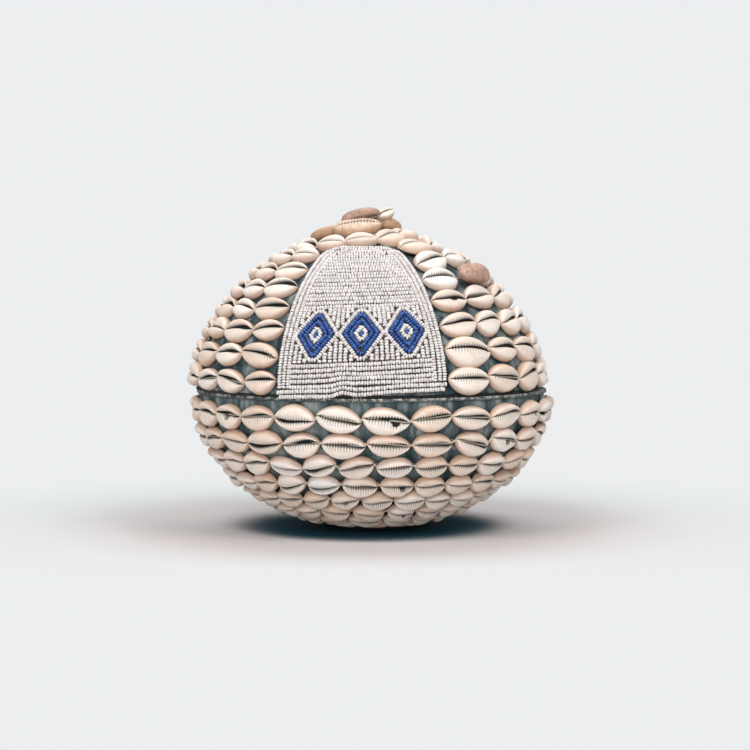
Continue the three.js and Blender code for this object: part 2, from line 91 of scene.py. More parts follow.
# Crown shells: length, width, height, turn, and place from the lid's axis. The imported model
# has these, and two of them are laid anew here by their turn and place.
CROWN_MARGIN = 0.3 * mm
CROWN_LIFT = 0.4 * mm
LOWER_CROWN = {
    "front": (29 * mm, 16 * mm, 9 * mm, 0, (-6 * mm, -10.3 * mm)),
    "right": (24 * mm, 14 * mm, 8.8 * mm, 100, (5.5 * mm, 7.5 * mm)),
    "left": (22 * mm, 13 * mm, 7.6 * mm, 125, (-19 * mm, 8 * mm)),
}
LAID_ANEW = {"right": (36, (8.6 * mm, 5.2 * mm)), "left": (162, (-22.5 * mm, 4 * mm))}
UPPER_CROWN = {
    "top": (23.5 * mm, 10.5 * mm, 7 * mm, 4, (-3.9 * mm, -5.4 * mm)),
    "side": (15 * mm, 7.4 * mm, 6.2 * mm, 52, (10.4 * mm, 1.5 * mm)),
    "back": (21 * mm, 11 * mm, 6 * mm, -6, (-2 * mm, 8.6 * mm)),
}
# How far each is rolled and tipped up at +X, in degrees, its lift, and its tone
CROWN_POSES = {
    "front": (17, 1, 0, 0.62),
    "right": (-10, -4, 1.5 * mm, 0.8),
    "left": (10, 2, 0, 0.75),
    "top": (150, 12, -1.1 * mm, 0.7),
    "side": (35, 18, -0.7 * mm, 0.02),
    "back": (-8, 17, -3.6 * mm, 0.5),
}

# Odd shells by row and azimuth, with the rows numbered over both halves. One is whole and has
# rolled over on its thread.
BROKEN_SHELLS = [(1, 4), (1, -50), (2, 42), (4, 9), (6, 12)]
BROKEN_DEPTH = 2.6 * mm
WHITE_SHELLS = [(4, -20), (13, 35)]
ROLLED_ROW, ROLLED_AZIMUTH = 13, 61
ROLLED_LENGTH = 25 * mm
ROLLED_WIDTH, ROLLED_HEIGHT, ROLLED_RISE = 0.8, 0.92, 0.40
ROLLED_YAW, ROLLED_ROLL = -14, -62
ROLLED_SHIFT = 3 * mm
ROLLED_TONE = 0.32

# Half of a shell's opening, its tone, how much it fills of its room on the thread and of its
# row, and how far its room differs from its neighbours'
SHELL_GAPE = (0.55 * mm, 1.3 * mm)
CROWN_GAPE = (0.15 * mm, 0.4 * mm)
SHELL_TONES = (0.12, 0.85)
SHELL_FILL = (0.92, 1.0)
TOP_ROW_FILL = (1.03, 1.12)
BREADTH = {"bowl": (1.06, 1.15), "lid": (1.08, 1.2)}
UNEVENNESS = {"bowl": 0.05, "lid": 0.13}

# Spread of a shell's turn and roll in degrees and of its place, and the shares of the shells
# that lie the other way round or have a chipped lip, with the chip's depth in millimetres
SHELL_TURN, SHELL_ROLL, SHELL_STRAY = 5.5, 5, 0.35 * mm
FLIPPED_SHARE, CHIPPED_SHARE = 0.08, 0.05
CHIP_DEPTH = (1.0, 2.0)

# The first and last of the bowl rows that are tipped up over the rows under them
SHINGLED_ROWS = (4, 7)
SHINGLE_ROLL = -7
SHINGLE_LIFT = 0.5 * mm
LOWEST_ROW_LIFT = -0.25 * mm

# Beaded panel
PANEL_ASIDE = 3.5 * mm
PANEL_HALF_ANGLE = 27
PANEL_FLARE = 1.5
PANEL_FLARE_END = 75 * mm
PANEL_RIM_MARGIN = 1.2 * mm
PANEL_TOP_MARGIN = 2 * mm
PANEL_SIDE_MARGIN = 0.6 * mm
PANEL_CORNER = 11 * mm
PANEL_TILT = 0.046
TILT_FADE = 35 * mm
BACKING = 0.8 * mm
BACKING_LIFT = 0.5 * mm
BEAD_DIAMETER = 2.3 * mm
BEAD_PITCH = 1.5 * mm
BEAD_THREAD_RADIUS = 0.17 * mm
STRAND_PITCH = 2.6 * mm
UPPER_STRAND_PITCH = 2.75 * mm
LOWER_STRANDS = 7
BORDER_STRANDS = 3
BAND_START = 18.5 * mm
BAND_END = 50 * mm
LOZENGE_MARGIN = 0.5 * mm
LOZENGE_HALF_WIDTH = 10.4 * mm
LOZENGE_HALF_HEIGHT = 13 * mm
LOZENGE_TIP = 1.3 * mm

# Camera and light. A lamp is its place, size, power and colour.
LENS = 114.96
EYE = (0, -1.4, 0.164)
TARGET = (0.00205, 0, 0.0886)
LAMP_AIM = (0, 0, 0.08)
WARM = (1.0, 0.96, 0.925)
LAMPS = {
    "front_left": ((-0.75, -0.95, 1.6), 0.9, 14, WARM),
    "front_right": ((0.95, -0.9, 1.4), 0.9, 12.5, WARM),
    "low_front": ((-0.2, -1.7, 0.4), 1.0, 17, WARM),
    "overhead": ((0.0, 0.4, 1.55), 1.1, 14.5, (1.0, 0.975, 0.95)),
}
BACKDROP = (0.838, 0.853, 0.868)
ROOM = (0.62, 0.90, 1.0)
ROOM_STRENGTH = 0.24
FLOOR = (0.64, 0.64, 0.64)
FLOOR_REACH = 12
FLOOR_FADE = (0.13, 0.34)
SHADE_REACH = 0.12

# Fineness
PROFILE_STEPS = 1200
SHELL_COLUMNS = 97
AROUND = 300

TURN = 2 * math.pi
ROUND = (np.arange(AROUND) * TURN / AROUND)[:, None]
RIM_STEP = BINDING + GAP
BOWL_RIM = SEAM_HEIGHT - RIM_STEP
LID_RIM = SEAM_HEIGHT + GAP + RIM_STEP
GOURD_OUTSIDE = -(CLOTH + GAP)
GOURD_INSIDE = GOURD_OUTSIDE - GOURD_WALL
BEADS_UNDER = BACKING_LIFT + BACKING + GAP
BEAD_MIDDLE = BEADS_UNDER + BEAD_DIAMETER / 2


def smooth(value, low=0.0, high=1.0):
    share = np.clip((value - low) / (high - low), 0, 1)
    return share * share * (3 - 2 * share)


def waves(angle, seed, counts, height):
    """A smooth closed wave round the axis, made of sines with these counts round it."""
    rng = np.random.default_rng(seed)
    total = sum(np.sin(count * angle + rng.uniform(0, TURN)) for count in counts)
    return height * total / math.sqrt(len(counts))


class Half:
    """A half of the gourd, by the outside of its cloth in the (radius, height) plane."""

    def __init__(self, body, radius, rise, fullness, rim, side, centre_x):
        t = np.linspace(0, math.pi / 2, PROFILE_STEPS + 1)
        self.r = radius * np.maximum(np.cos(t), 0) ** (2 / fullness)
        self.z = rim + side * rise * np.sin(t) ** (2 / fullness)
        self.r[-1] = 0
        steps = np.hypot(np.diff(self.r), np.diff(self.z))
        self.s = np.concatenate([[0], np.cumsum(steps)])
        self.length = self.s[-1]
        slope_r, slope_z = np.gradient(self.r, self.s), np.gradient(self.z, self.s)
        slope_r[0], slope_z[0] = 0, side
        slope_r[-1], slope_z[-1] = -1, 0
        size = np.hypot(slope_r, slope_z)
        self.along_r, self.along_z = slope_r / size, slope_z / size
        self.body, self.side, self.centre_x = body, side, centre_x

    def lay_out_rows(self, count, rim_margin, bare_middle, gap):
        """Sets the distances of the rows' middles, and half the width of a row."""
        pitch = (self.length - rim_margin - bare_middle + gap) / count
        self.row_half = (pitch - gap) / 2
        self.rows = [rim_margin + self.row_half + i * pitch for i in range(count)]

    def at(self, s):
        """Radius, height, and the direction of the curve there. It goes on past the rim."""
        r, z, along_r, along_z = [np.interp(s, self.s, line) for line in (
            self.r, self.z, self.along_r, self.along_z)]
        return r, z + self.side * np.minimum(s, 0), along_r, along_z

    def radius(self, s):
        return np.interp(s, self.s, self.r)

    def place(self, s, azimuth, out=0.0):
        """Points at distances s and azimuths, moved outwards by out."""
        r, z, along_r, along_z = self.at(s)
        r = r + along_z * self.side * out
        z = z - along_r * self.side * out
        x = r * np.sin(azimuth) + self.centre_x
        return np.stack(np.broadcast_arrays(x, -r * np.cos(azimuth), z), -1)

    def frames(self, s, azimuth):
        """Directions along growing azimuth, up the object and outwards, there."""
        _, _, along_r, along_z = self.at(s)
        along_r, along_z, azimuth = np.broadcast_arrays(along_r, along_z, azimuth)
        sine, cosine, side = np.sin(azimuth), np.cos(azimuth), self.side
        round_it = np.stack([cosine, sine, np.zeros_like(sine)], -1)
        up = side * np.stack([along_r * sine, -along_r * cosine, along_z], -1)
        out = side * np.stack([along_z * sine, -along_z * cosine, -along_r], -1)
        return round_it, up, out


def spun(first, second, angle):
    """Two directions at right angles, turned by an angle from the first to the second."""
    return (first * np.cos(angle) + second * np.sin(angle),
            second * np.cos(angle) - first * np.sin(angle))


def crown_reach(length, width, _, turn, place):
    """The bare middle that a lower crown shell needs inside the leaning rows."""
    round_it = np.arange(24) * TURN / 24
    x, y = spun(length / 2 * np.cos(round_it), width / 2 * np.sin(round_it), -math.radians(turn))
    x, y = place[0] + x, place[1] + y
    r = np.hypot(x, y)
    return float(np.max(r + LID_LEAN * x / r))


bowl = Half("bowl", BOWL_RADIUS, BOWL_RIM - PAD_THICKNESS - GAP, BOWL_FULLNESS, BOWL_RIM, -1, 0)
lid = Half("lid", LID_RADIUS, LID_HEIGHT, LID_FULLNESS, LID_RIM, 1, -LID_OFFSET)
bowl.lay_out_rows(len(BOWL_ROWS), BOWL_RIM_MARGIN, PAD_RADIUS + PAD_MARGIN, BOWL_ROW_GAP)
lid.lay_out_rows(len(LID_ROWS), LID_RIM_MARGIN, CROWN_MARGIN + max(
    crown_reach(*shell) for shell in LOWER_CROWN.values()), LID_ROW_GAP)


def grid(rows, columns, close_rows=False, close_columns=False):
    """Four corner numbers of each face of a grid of points."""
    i = np.arange(rows if close_rows else rows - 1)[:, None]
    j = np.arange(columns if close_columns else columns - 1)[None]
    next_i, next_j = (i + 1) % rows, (j + 1) % columns
    corners = [i * columns + j, next_i * columns + j,
               next_i * columns + next_j, i * columns + next_j]
    return np.stack(corners, -1).reshape(-1, 4)


def copies(faces, count, size):
    """The faces of one item repeated for count items of size points each."""
    return (faces[None] + np.arange(count)[:, None, None] * size).reshape(-1, faces.shape[1])


def in_scene(name, data, place=None, aim=None):
    """A new object, which looks from its place at its aim where it has them."""
    thing = bpy.data.objects.new(name, data)
    bpy.context.scene.collection.objects.link(thing)
    if place:
        thing.location = place
        toward = Vector(aim) - Vector(place)
        thing.rotation_euler = toward.to_track_quat("-Z", "Y").to_euler()
    return thing


class Pile:
    """Surfaces with values on their points, collected into one mesh."""

    def __init__(self):
        self.points, self.values, self.size = [], [], 0
        self.faces, self.looks = {4: [], 3: []}, {4: [], 3: []}

    def add(self, points, quads=(), triangles=(), look=0, **values):
        points = np.reshape(points, (-1, 3))
        for corners, faces in ((4, quads), (3, triangles)):
            faces = np.asarray(faces, int).reshape(-1, corners)
            self.faces[corners].append(faces + self.size)
            self.looks[corners].append(np.full(len(faces), look))
        self.points.append(points)
        self.values.append({name: np.ravel(value) for name, value in values.items()})
        self.size += len(points)

    def make(self, name, body, slot, *used, replaced=None):
        """One smooth mesh that rides on a body and stands for the replaced nodes."""
        quads, triangles = np.concatenate(self.faces[4]), np.concatenate(self.faces[3])
        corners = np.concatenate([quads.ravel(), triangles.ravel()])
        starts = np.concatenate([np.arange(len(quads)) * 4,
                                 4 * len(quads) + np.arange(len(triangles)) * 3])
        mesh = bpy.data.meshes.new(name)
        mesh.vertices.add(self.size)
        mesh.loops.add(len(corners))
        mesh.polygons.add(len(starts))
        for items, key, values, kind in (
                (mesh.vertices, "co", np.concatenate(self.points).ravel(), np.float32),
                (mesh.loops, "vertex_index", corners, np.int32),
                (mesh.polygons, "loop_start", starts, np.int32),
                (mesh.polygons, "material_index",
                 np.concatenate(self.looks[4] + self.looks[3]), np.int32),
                (mesh.polygons, "use_smooth", np.ones(len(starts)), bool)):
            items.foreach_set(key, values.astype(kind))
        for key in sorted({key for values in self.values for key in values}):
            line = np.concatenate([values.get(key, np.zeros(len(points)))
                                   for points, values in zip(self.points, self.values)])
            attribute = mesh.attributes.new(key, "FLOAT", "POINT")
            attribute.data.foreach_set("value", line.astype(np.float32))
        mesh.update(calc_edges=True)
        mesh.validate()
        for look in used:
            mesh.materials.append(looks[look])
        piece = in_scene(name, mesh)
        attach(piece, body)
        replaced = [name] if replaced is None else replaced
        if replaced:
            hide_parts(*replaced)
        return piece


def add_piece(name, body, slot, look, surface, values=None):
    """A piece of one surface and one look, which stands for the node of its name."""
    pile = Pile()
    pile.add(*surface, **(values or {}))
    return pile.make(name, body, slot, look)


def turned_ring(r, z, half):
    """Points and faces of a ring whose section at each azimuth is a row of r and z."""
    angle = np.arange(len(r))[:, None] * TURN / len(r)
    points = np.stack([r * np.sin(angle) + half.centre_x, -r * np.cos(angle), z], -1)
    return points, grid(*r.shape, True, True)


def turned_dome(r, z, half):
    """The same for a section that starts and ends on the axis."""
    count, inner = r.shape[0], r.shape[1] - 2
    points, _ = turned_ring(r[:, 1:-1], z[:, 1:-1], half)
    poles = [[half.centre_x, 0, z[:, 0].mean()], [half.centre_x, 0, z[:, -1].mean()]]
    here = np.arange(count) * inner
    following = np.roll(here, -1)
    fans = np.concatenate([
        np.stack([np.full(count, count * inner), following, here], -1),
        np.stack([here + inner - 1, following + inner - 1, np.full(count, count * inner + 1)],
                 -1)])
    return np.concatenate([points.reshape(-1, 3), poles]), grid(count, inner, True), fans


def walled_dome(outer, inner, half):
    """A dome whose outside runs from the axis to the rim, and its inside back again."""
    points = np.concatenate([outer, inner], 1)
    r = np.hypot(points[..., 0] - half.centre_x, points[..., 1])
    r[:, [0, -1]] = 0
    surface, quads, fans = turned_dome(r, points[..., 2], half)
    return (surface, quads, fans) if half.side > 0 else (surface, quads[:, ::-1], fans[:, ::-1])


def on_dome(values):
    """Values of a dome's section on its points, the two on the axis last."""
    return np.concatenate([values[:, 1:-1].ravel(), [0, 0]])


def tube(path, radius, sides=6, close=False):
    """Points and faces of a cord of round section along a path."""
    path = np.asarray(path, float)
    ahead = np.roll(path, -1, 0) if close else np.concatenate([path[1:], path[-1:]])
    behind = np.roll(path, 1, 0) if close else np.concatenate([path[:1], path[:-1]])
    along = ahead - behind
    along /= np.maximum(np.linalg.norm(along, axis=1, keepdims=True), 1e-9)
    side = np.cross(along[0], [0.31, 0.52, 0.79])
    across = []
    for direction in along:
        side = side - direction * side.dot(direction)
        side /= np.linalg.norm(side)
        across.append(side)
    other = np.cross(along, across)
    turn = (np.arange(sides) * TURN / sides)[:, None]
    ring = np.array(across)[:, None] * np.cos(turn) + other[:, None] * np.sin(turn)
    fan = np.array([[0, k + 2, k + 1] for k in range(sides - 2)])
    last = (len(path) - 1) * sides
    ends = [] if close else np.concatenate([fan, last + fan[:, [0, 2, 1]]])
    return path[:, None] + ring * radius, grid(len(path), sides, close, True), ends


class Look:
    """A procedural material, with short names for the nodes it uses."""

    def __init__(self, name, **constants):
        self.material = bpy.data.materials.new(name)
        self.material.use_nodes = True
        self.tree = self.material.node_tree
        self.shader = self.tree.nodes["Principled BSDF"]
        for socket, value in constants.items():
            self.shader.inputs[socket.replace("_", " ")].default_value = value
        self.place = self.node("ShaderNodeTexCoord").outputs["Object"]

    def node(self, kind, inputs=(), **settings):
        node = self.tree.nodes.new(kind)
        for setting, value in settings.items():
            setattr(node, setting, value)
        for socket, value in dict(inputs).items():
            self.set(node.inputs[socket], value)
        return node

    def set(self, socket, value):
        if isinstance(value, bpy.types.NodeSocket):
            self.tree.links.new(value, socket)
        else:
            socket.default_value = value

    def value(self, name, size=None):
        """A value of the mesh's points, times a size."""
        value = self.node("ShaderNodeAttribute", attribute_name=name).outputs["Fac"]
        return value if size is None else self.sum("MULTIPLY", value, size)

    def noise(self, scale, detail, roughness, upright=1):
        """Noise, drawn out up the object where upright is below 1."""
        squeezed = self.node("ShaderNodeMapping", {"Vector": self.place,
                                                   "Scale": (1, 1, upright)})
        inputs = {"Vector": squeezed.outputs["Vector"], "Scale": scale, "Detail": detail,
                  "Roughness": roughness}
        return self.node("ShaderNodeTexNoise", inputs).outputs["Fac"]

    def ramp(self, value, *stops):
        """Colours or greys at positions of a value."""
        node = self.node("ShaderNodeValToRGB", {"Fac": value})
        elements = node.color_ramp.elements
        while len(elements) < len(stops):
            elements.new(1)
        for element, (position, colour) in zip(elements, stops):
            element.position = position
            element.color = (*colour, 1) if isinstance(colour, tuple) else (colour,) * 3 + (1,)
        return node.outputs["Color"]

    def mix(self, share, first, second):
        node = self.node("ShaderNodeMix", data_type="RGBA")
        for socket, value in zip((0, 6, 7), (share, first, second)):
            self.set(node.inputs[socket], (*value, 1) if isinstance(value, tuple) else value)
        return node.outputs[2]

    def over(self, first, second, value, low, high, most=1.0):
        """The first colour where a value is low, and most of the second where it is high."""
        return self.mix(self.ramp(value, (low, 0.0), (high, most)), first, second)

    def sum(self, operation, first, second=0.0):
        node = self.node("ShaderNodeMath", {0: first, 1: second}, operation=operation)
        return node.outputs[0]

    def finish(self, colour, *layers, roughness=None):
        """The material, with bumps of heights and their depths in metres over each other."""
        self.set(self.shader.inputs["Base Color"], colour)
        if roughness:
            self.set(self.shader.inputs["Roughness"], roughness)
        normal = None
        for height, depth in layers:
            node = self.node("ShaderNodeBump", {"Height": height, "Distance": depth})
            if normal:
                self.set(node.inputs["Normal"], normal)
            normal = node.outputs["Normal"]
        self.set(self.shader.inputs["Normal"], normal)
        return self.material


def dimmed(colour, share):
    return tuple(share * channel for channel in colour)


def cowrie_look(name, white, pale, warm, tan, edge, teeth=1.0, mottle=0.24):
    """Shell that runs from white to tan by its tone, with an orange-brown edge that is partly
    painted shade, painted shade in its tooth grooves and a near-black painted shade in its
    aperture.
    """
    look = Look(name, Specular_IOR_Level=0.35, Subsurface_Weight=0.05,
                Subsurface_Scale=0.0010, Subsurface_Radius=(1.0, 0.55, 0.35),
                Coat_Weight=0.04, Coat_Roughness=0.25)
    blotch, fine = look.noise(150, 3, 0.55), look.noise(900, 4, 0.6)
    cloud = look.sum("MULTIPLY", look.ramp(blotch, (0.35, 0.0), (0.7, 1.0)), mottle)
    blend = look.sum("ADD", look.value("tone", 0.78), cloud)
    colour = look.ramp(blend, (0.0, white), (0.2, pale), (0.55, warm), (1.0, tan))
    # The shell's orange-brown margin along its outer edges, underside and tips, darkened as painted
    # shade too.
    colour = look.mix(look.value("margin", 0.6), colour, edge)
    colour = look.over(colour, dimmed(edge, 0.4), look.noise(330, 4, 0.6), 0.46, 0.6,
                       1.5 * (mottle - 0.2))
    colour = look.mix(look.value("lip", 0.5), colour, (0.88, 0.77, 0.69))
    colour = look.over(colour, edge, fine, 0.52, 0.72, 0.9 * mottle)
    # Painted shade in the grooves between the teeth; teeth sets how strong it is.
    colour = look.mix(look.value("groove", teeth), colour, (0.022, 0.034, 0.036))
    # Painted shade: the aperture's inside near-black, darkest towards its wide end.
    inside = look.mix(look.value("deep"), (0.012, 0.026, 0.030), (0.001, 0.004, 0.005))
    return look.finish(look.mix(look.value("slot"), colour, inside), (blotch, 0.0006),
                       (fine, 0.00012), roughness=look.ramp(fine, (0.3, 0.38), (0.75, 0.58)))


def thread_look():
    look = Look("cotton_thread", Roughness=0.8, Sheen_Weight=0.25)
    fibre = look.noise(2600, 3, 0.6, 0.35)
    colour = look.ramp(fibre, (0.3, (0.48, 0.40, 0.31)), (0.7, (0.80, 0.72, 0.60)))
    return look.finish(colour, (fibre, 0.0003))


def cloth_look():
    """Grey cotton, streaked along the folds it was pulled into and paler on their crests, partly as
    a painted highlight, with painted shade under the shells.
    """
    look = Look("glued_cloth", Roughness=0.7, Specular_IOR_Level=0.18)
    weave, cloud = look.noise(2400, 2, 0.6), look.noise(38, 4, 0.6)
    smear = look.noise(120, 4, 0.65, 0.2)
    colour = look.over((0.030, 0.068, 0.080), (0.13, 0.17, 0.175), cloud, 0.35, 0.65)
    colour = look.mix(look.ramp(smear, (0.40, 0.9), (0.5, 0.0)), colour, (0.004, 0.020, 0.027))
    colour = look.over(colour, (0.38, 0.42, 0.42), smear, 0.52, 0.64, 0.8)
    # Paler along the fold crests: partly streaks in the cloth, partly a painted highlight.
    colour = look.mix(look.value("streak"), colour, (0.42, 0.44, 0.42))
    # Painted shade: near-black where the cloth lies under the shells, and over the bowl's lower
    # half.
    colour = look.mix(look.value("hollow"), colour, (0.001, 0.012, 0.017))
    colour = look.over(colour, (0.05, 0.065, 0.07), weave, 0.42, 0.6, 0.3)
    return look.finish(colour, (weave, 0.00035), (cloud, 0.0008), (smear, 0.0005))


def tape_look(name, dark, pale, frayed):
    look = Look(name, Roughness=0.8, Specular_IOR_Level=0.15)
    weave, stain = look.noise(1500, 3, 0.65), look.noise(110, 4, 0.6)
    colour = look.over(dark, pale, stain, 0.35, 0.7)
    colour = look.over(colour, dimmed(dark, 0.35), weave, 0.45, 0.62, 0.4)
    threads = look.ramp(look.noise(420, 3, 0.6), (0.47, 0.0), (0.6, 1.0))
    colour = look.mix(look.value("wear", threads), colour, frayed)
    return look.finish(colour, (weave, 0.0004), (stain, 0.0006))


def leather_look(name, dark, pale, worn):
    look = Look(name, Specular_IOR_Level=0.25)
    cells = look.node("ShaderNodeTexVoronoi", {"Vector": look.place, "Scale": 900.0},
                      feature="DISTANCE_TO_EDGE").outputs["Distance"]
    grain, stain = look.ramp(cells, (0.0, 0.0), (0.16, 1.0)), look.noise(70, 5, 0.6)
    colour = look.over(dark, pale, stain, 0.35, 0.7)
    colour = look.mix(look.value("wear", 0.6), colour, worn)
    colour = look.mix(look.ramp(grain, (0.0, 0.5), (0.6, 0.0)), colour, (0.01, 0.008, 0.007))
    return look.finish(colour, (grain, 0.0002), (stain, 0.0007),
                       roughness=look.ramp(stain, (0.3, 0.5), (0.7, 0.75)))


def gourd_look():
    """Dry calabash: a fibrous pale cut edge, and a tan skin with darker mottles inside."""
    look = Look("calabash", Roughness=0.6, Specular_IOR_Level=0.35)
    mottle, pits = look.noise(45, 5, 0.6), look.noise(1300, 2, 0.5)
    fibre = look.noise(420, 4, 0.65, 0.22)
    colour = look.over((0.36, 0.215, 0.095), (0.60, 0.40, 0.20), mottle, 0.3, 0.72)
    colour = look.over(colour, (0.20, 0.115, 0.05), fibre, 0.48, 0.7, 0.5)
    colour = look.over(colour, (0.12, 0.07, 0.035), pits, 0.62, 0.75, 0.6)
    colour = look.mix(look.value("wear"), colour, (0.66, 0.52, 0.33))
    return look.finish(colour, (mottle, 0.0012), (fibre, 0.0004), (pits, 0.0002))


def bead_look(name, dull, bright, tint):
    look = Look(name, Roughness=0.26, Specular_IOR_Level=0.45, Coat_Weight=0.2,
                Coat_Roughness=0.12, Subsurface_Weight=0.06, Subsurface_Scale=0.0006)
    cloud = look.noise(700, 2, 0.5)
    colour = look.mix(look.value("tone"), dull, bright)
    colour = look.over(colour, tint, cloud, 0.45, 0.75, 0.35)
    # Painted shade: each bead darkened at its ends, where it meets its neighbours.
    colour = look.mix(look.value("slot", 0.9), colour, dimmed(dull, 0.18))
    return look.finish(colour, (cloud, 0.0001))


looks = {
    "cowrie": cowrie_look("cowrie_shell", (0.82, 0.80, 0.80), (0.84, 0.76, 0.715),
                          (0.79, 0.65, 0.57), (0.67, 0.495, 0.395), (0.51, 0.31, 0.20)),
    "crown": cowrie_look("crown_cowrie_shell", (0.80, 0.76, 0.72), (0.78, 0.66, 0.56),
                         (0.70, 0.52, 0.40), (0.56, 0.36, 0.24), (0.42, 0.23, 0.12), 0.5, 0.4),
    "violet": cowrie_look("violet_cowrie_shell", (0.70, 0.55, 0.50), (0.62, 0.44, 0.385),
                          (0.42, 0.26, 0.215), (0.20, 0.12, 0.10), (0.52, 0.32, 0.235),
                          0.6, 0.62),
    "thread": thread_look(),
    "cloth": cloth_look(),
    "tape": tape_look("rim_tape", (0.030, 0.048, 0.053), (0.14, 0.15, 0.145),
                      (0.50, 0.47, 0.42)),
    "backing": tape_look("panel_backing_cloth", (0.075, 0.066, 0.062), (0.16, 0.13, 0.12),
                         (0.40, 0.34, 0.30)),
    "dark_leather": leather_look("dark_leather", (0.005, 0.010, 0.012), (0.016, 0.024, 0.026),
                                 (0.045, 0.050, 0.049)),
    # The pad's near-black colour stands in for the shade under the bowl: painted shade.
    "pad_leather": leather_look("pad_leather", (0.022, 0.020, 0.018), (0.055, 0.044, 0.036),
                                (0.12, 0.09, 0.07)),
    "gourd": gourd_look(),
    "white": bead_look("white_glass_beads", (0.60, 0.55, 0.545), (0.76, 0.73, 0.72),
                       (0.68, 0.61, 0.60)),
    "blue": bead_look("blue_glass_beads", (0.003, 0.028, 0.16), (0.024, 0.105, 0.38),
                      (0.05, 0.15, 0.42)),
}


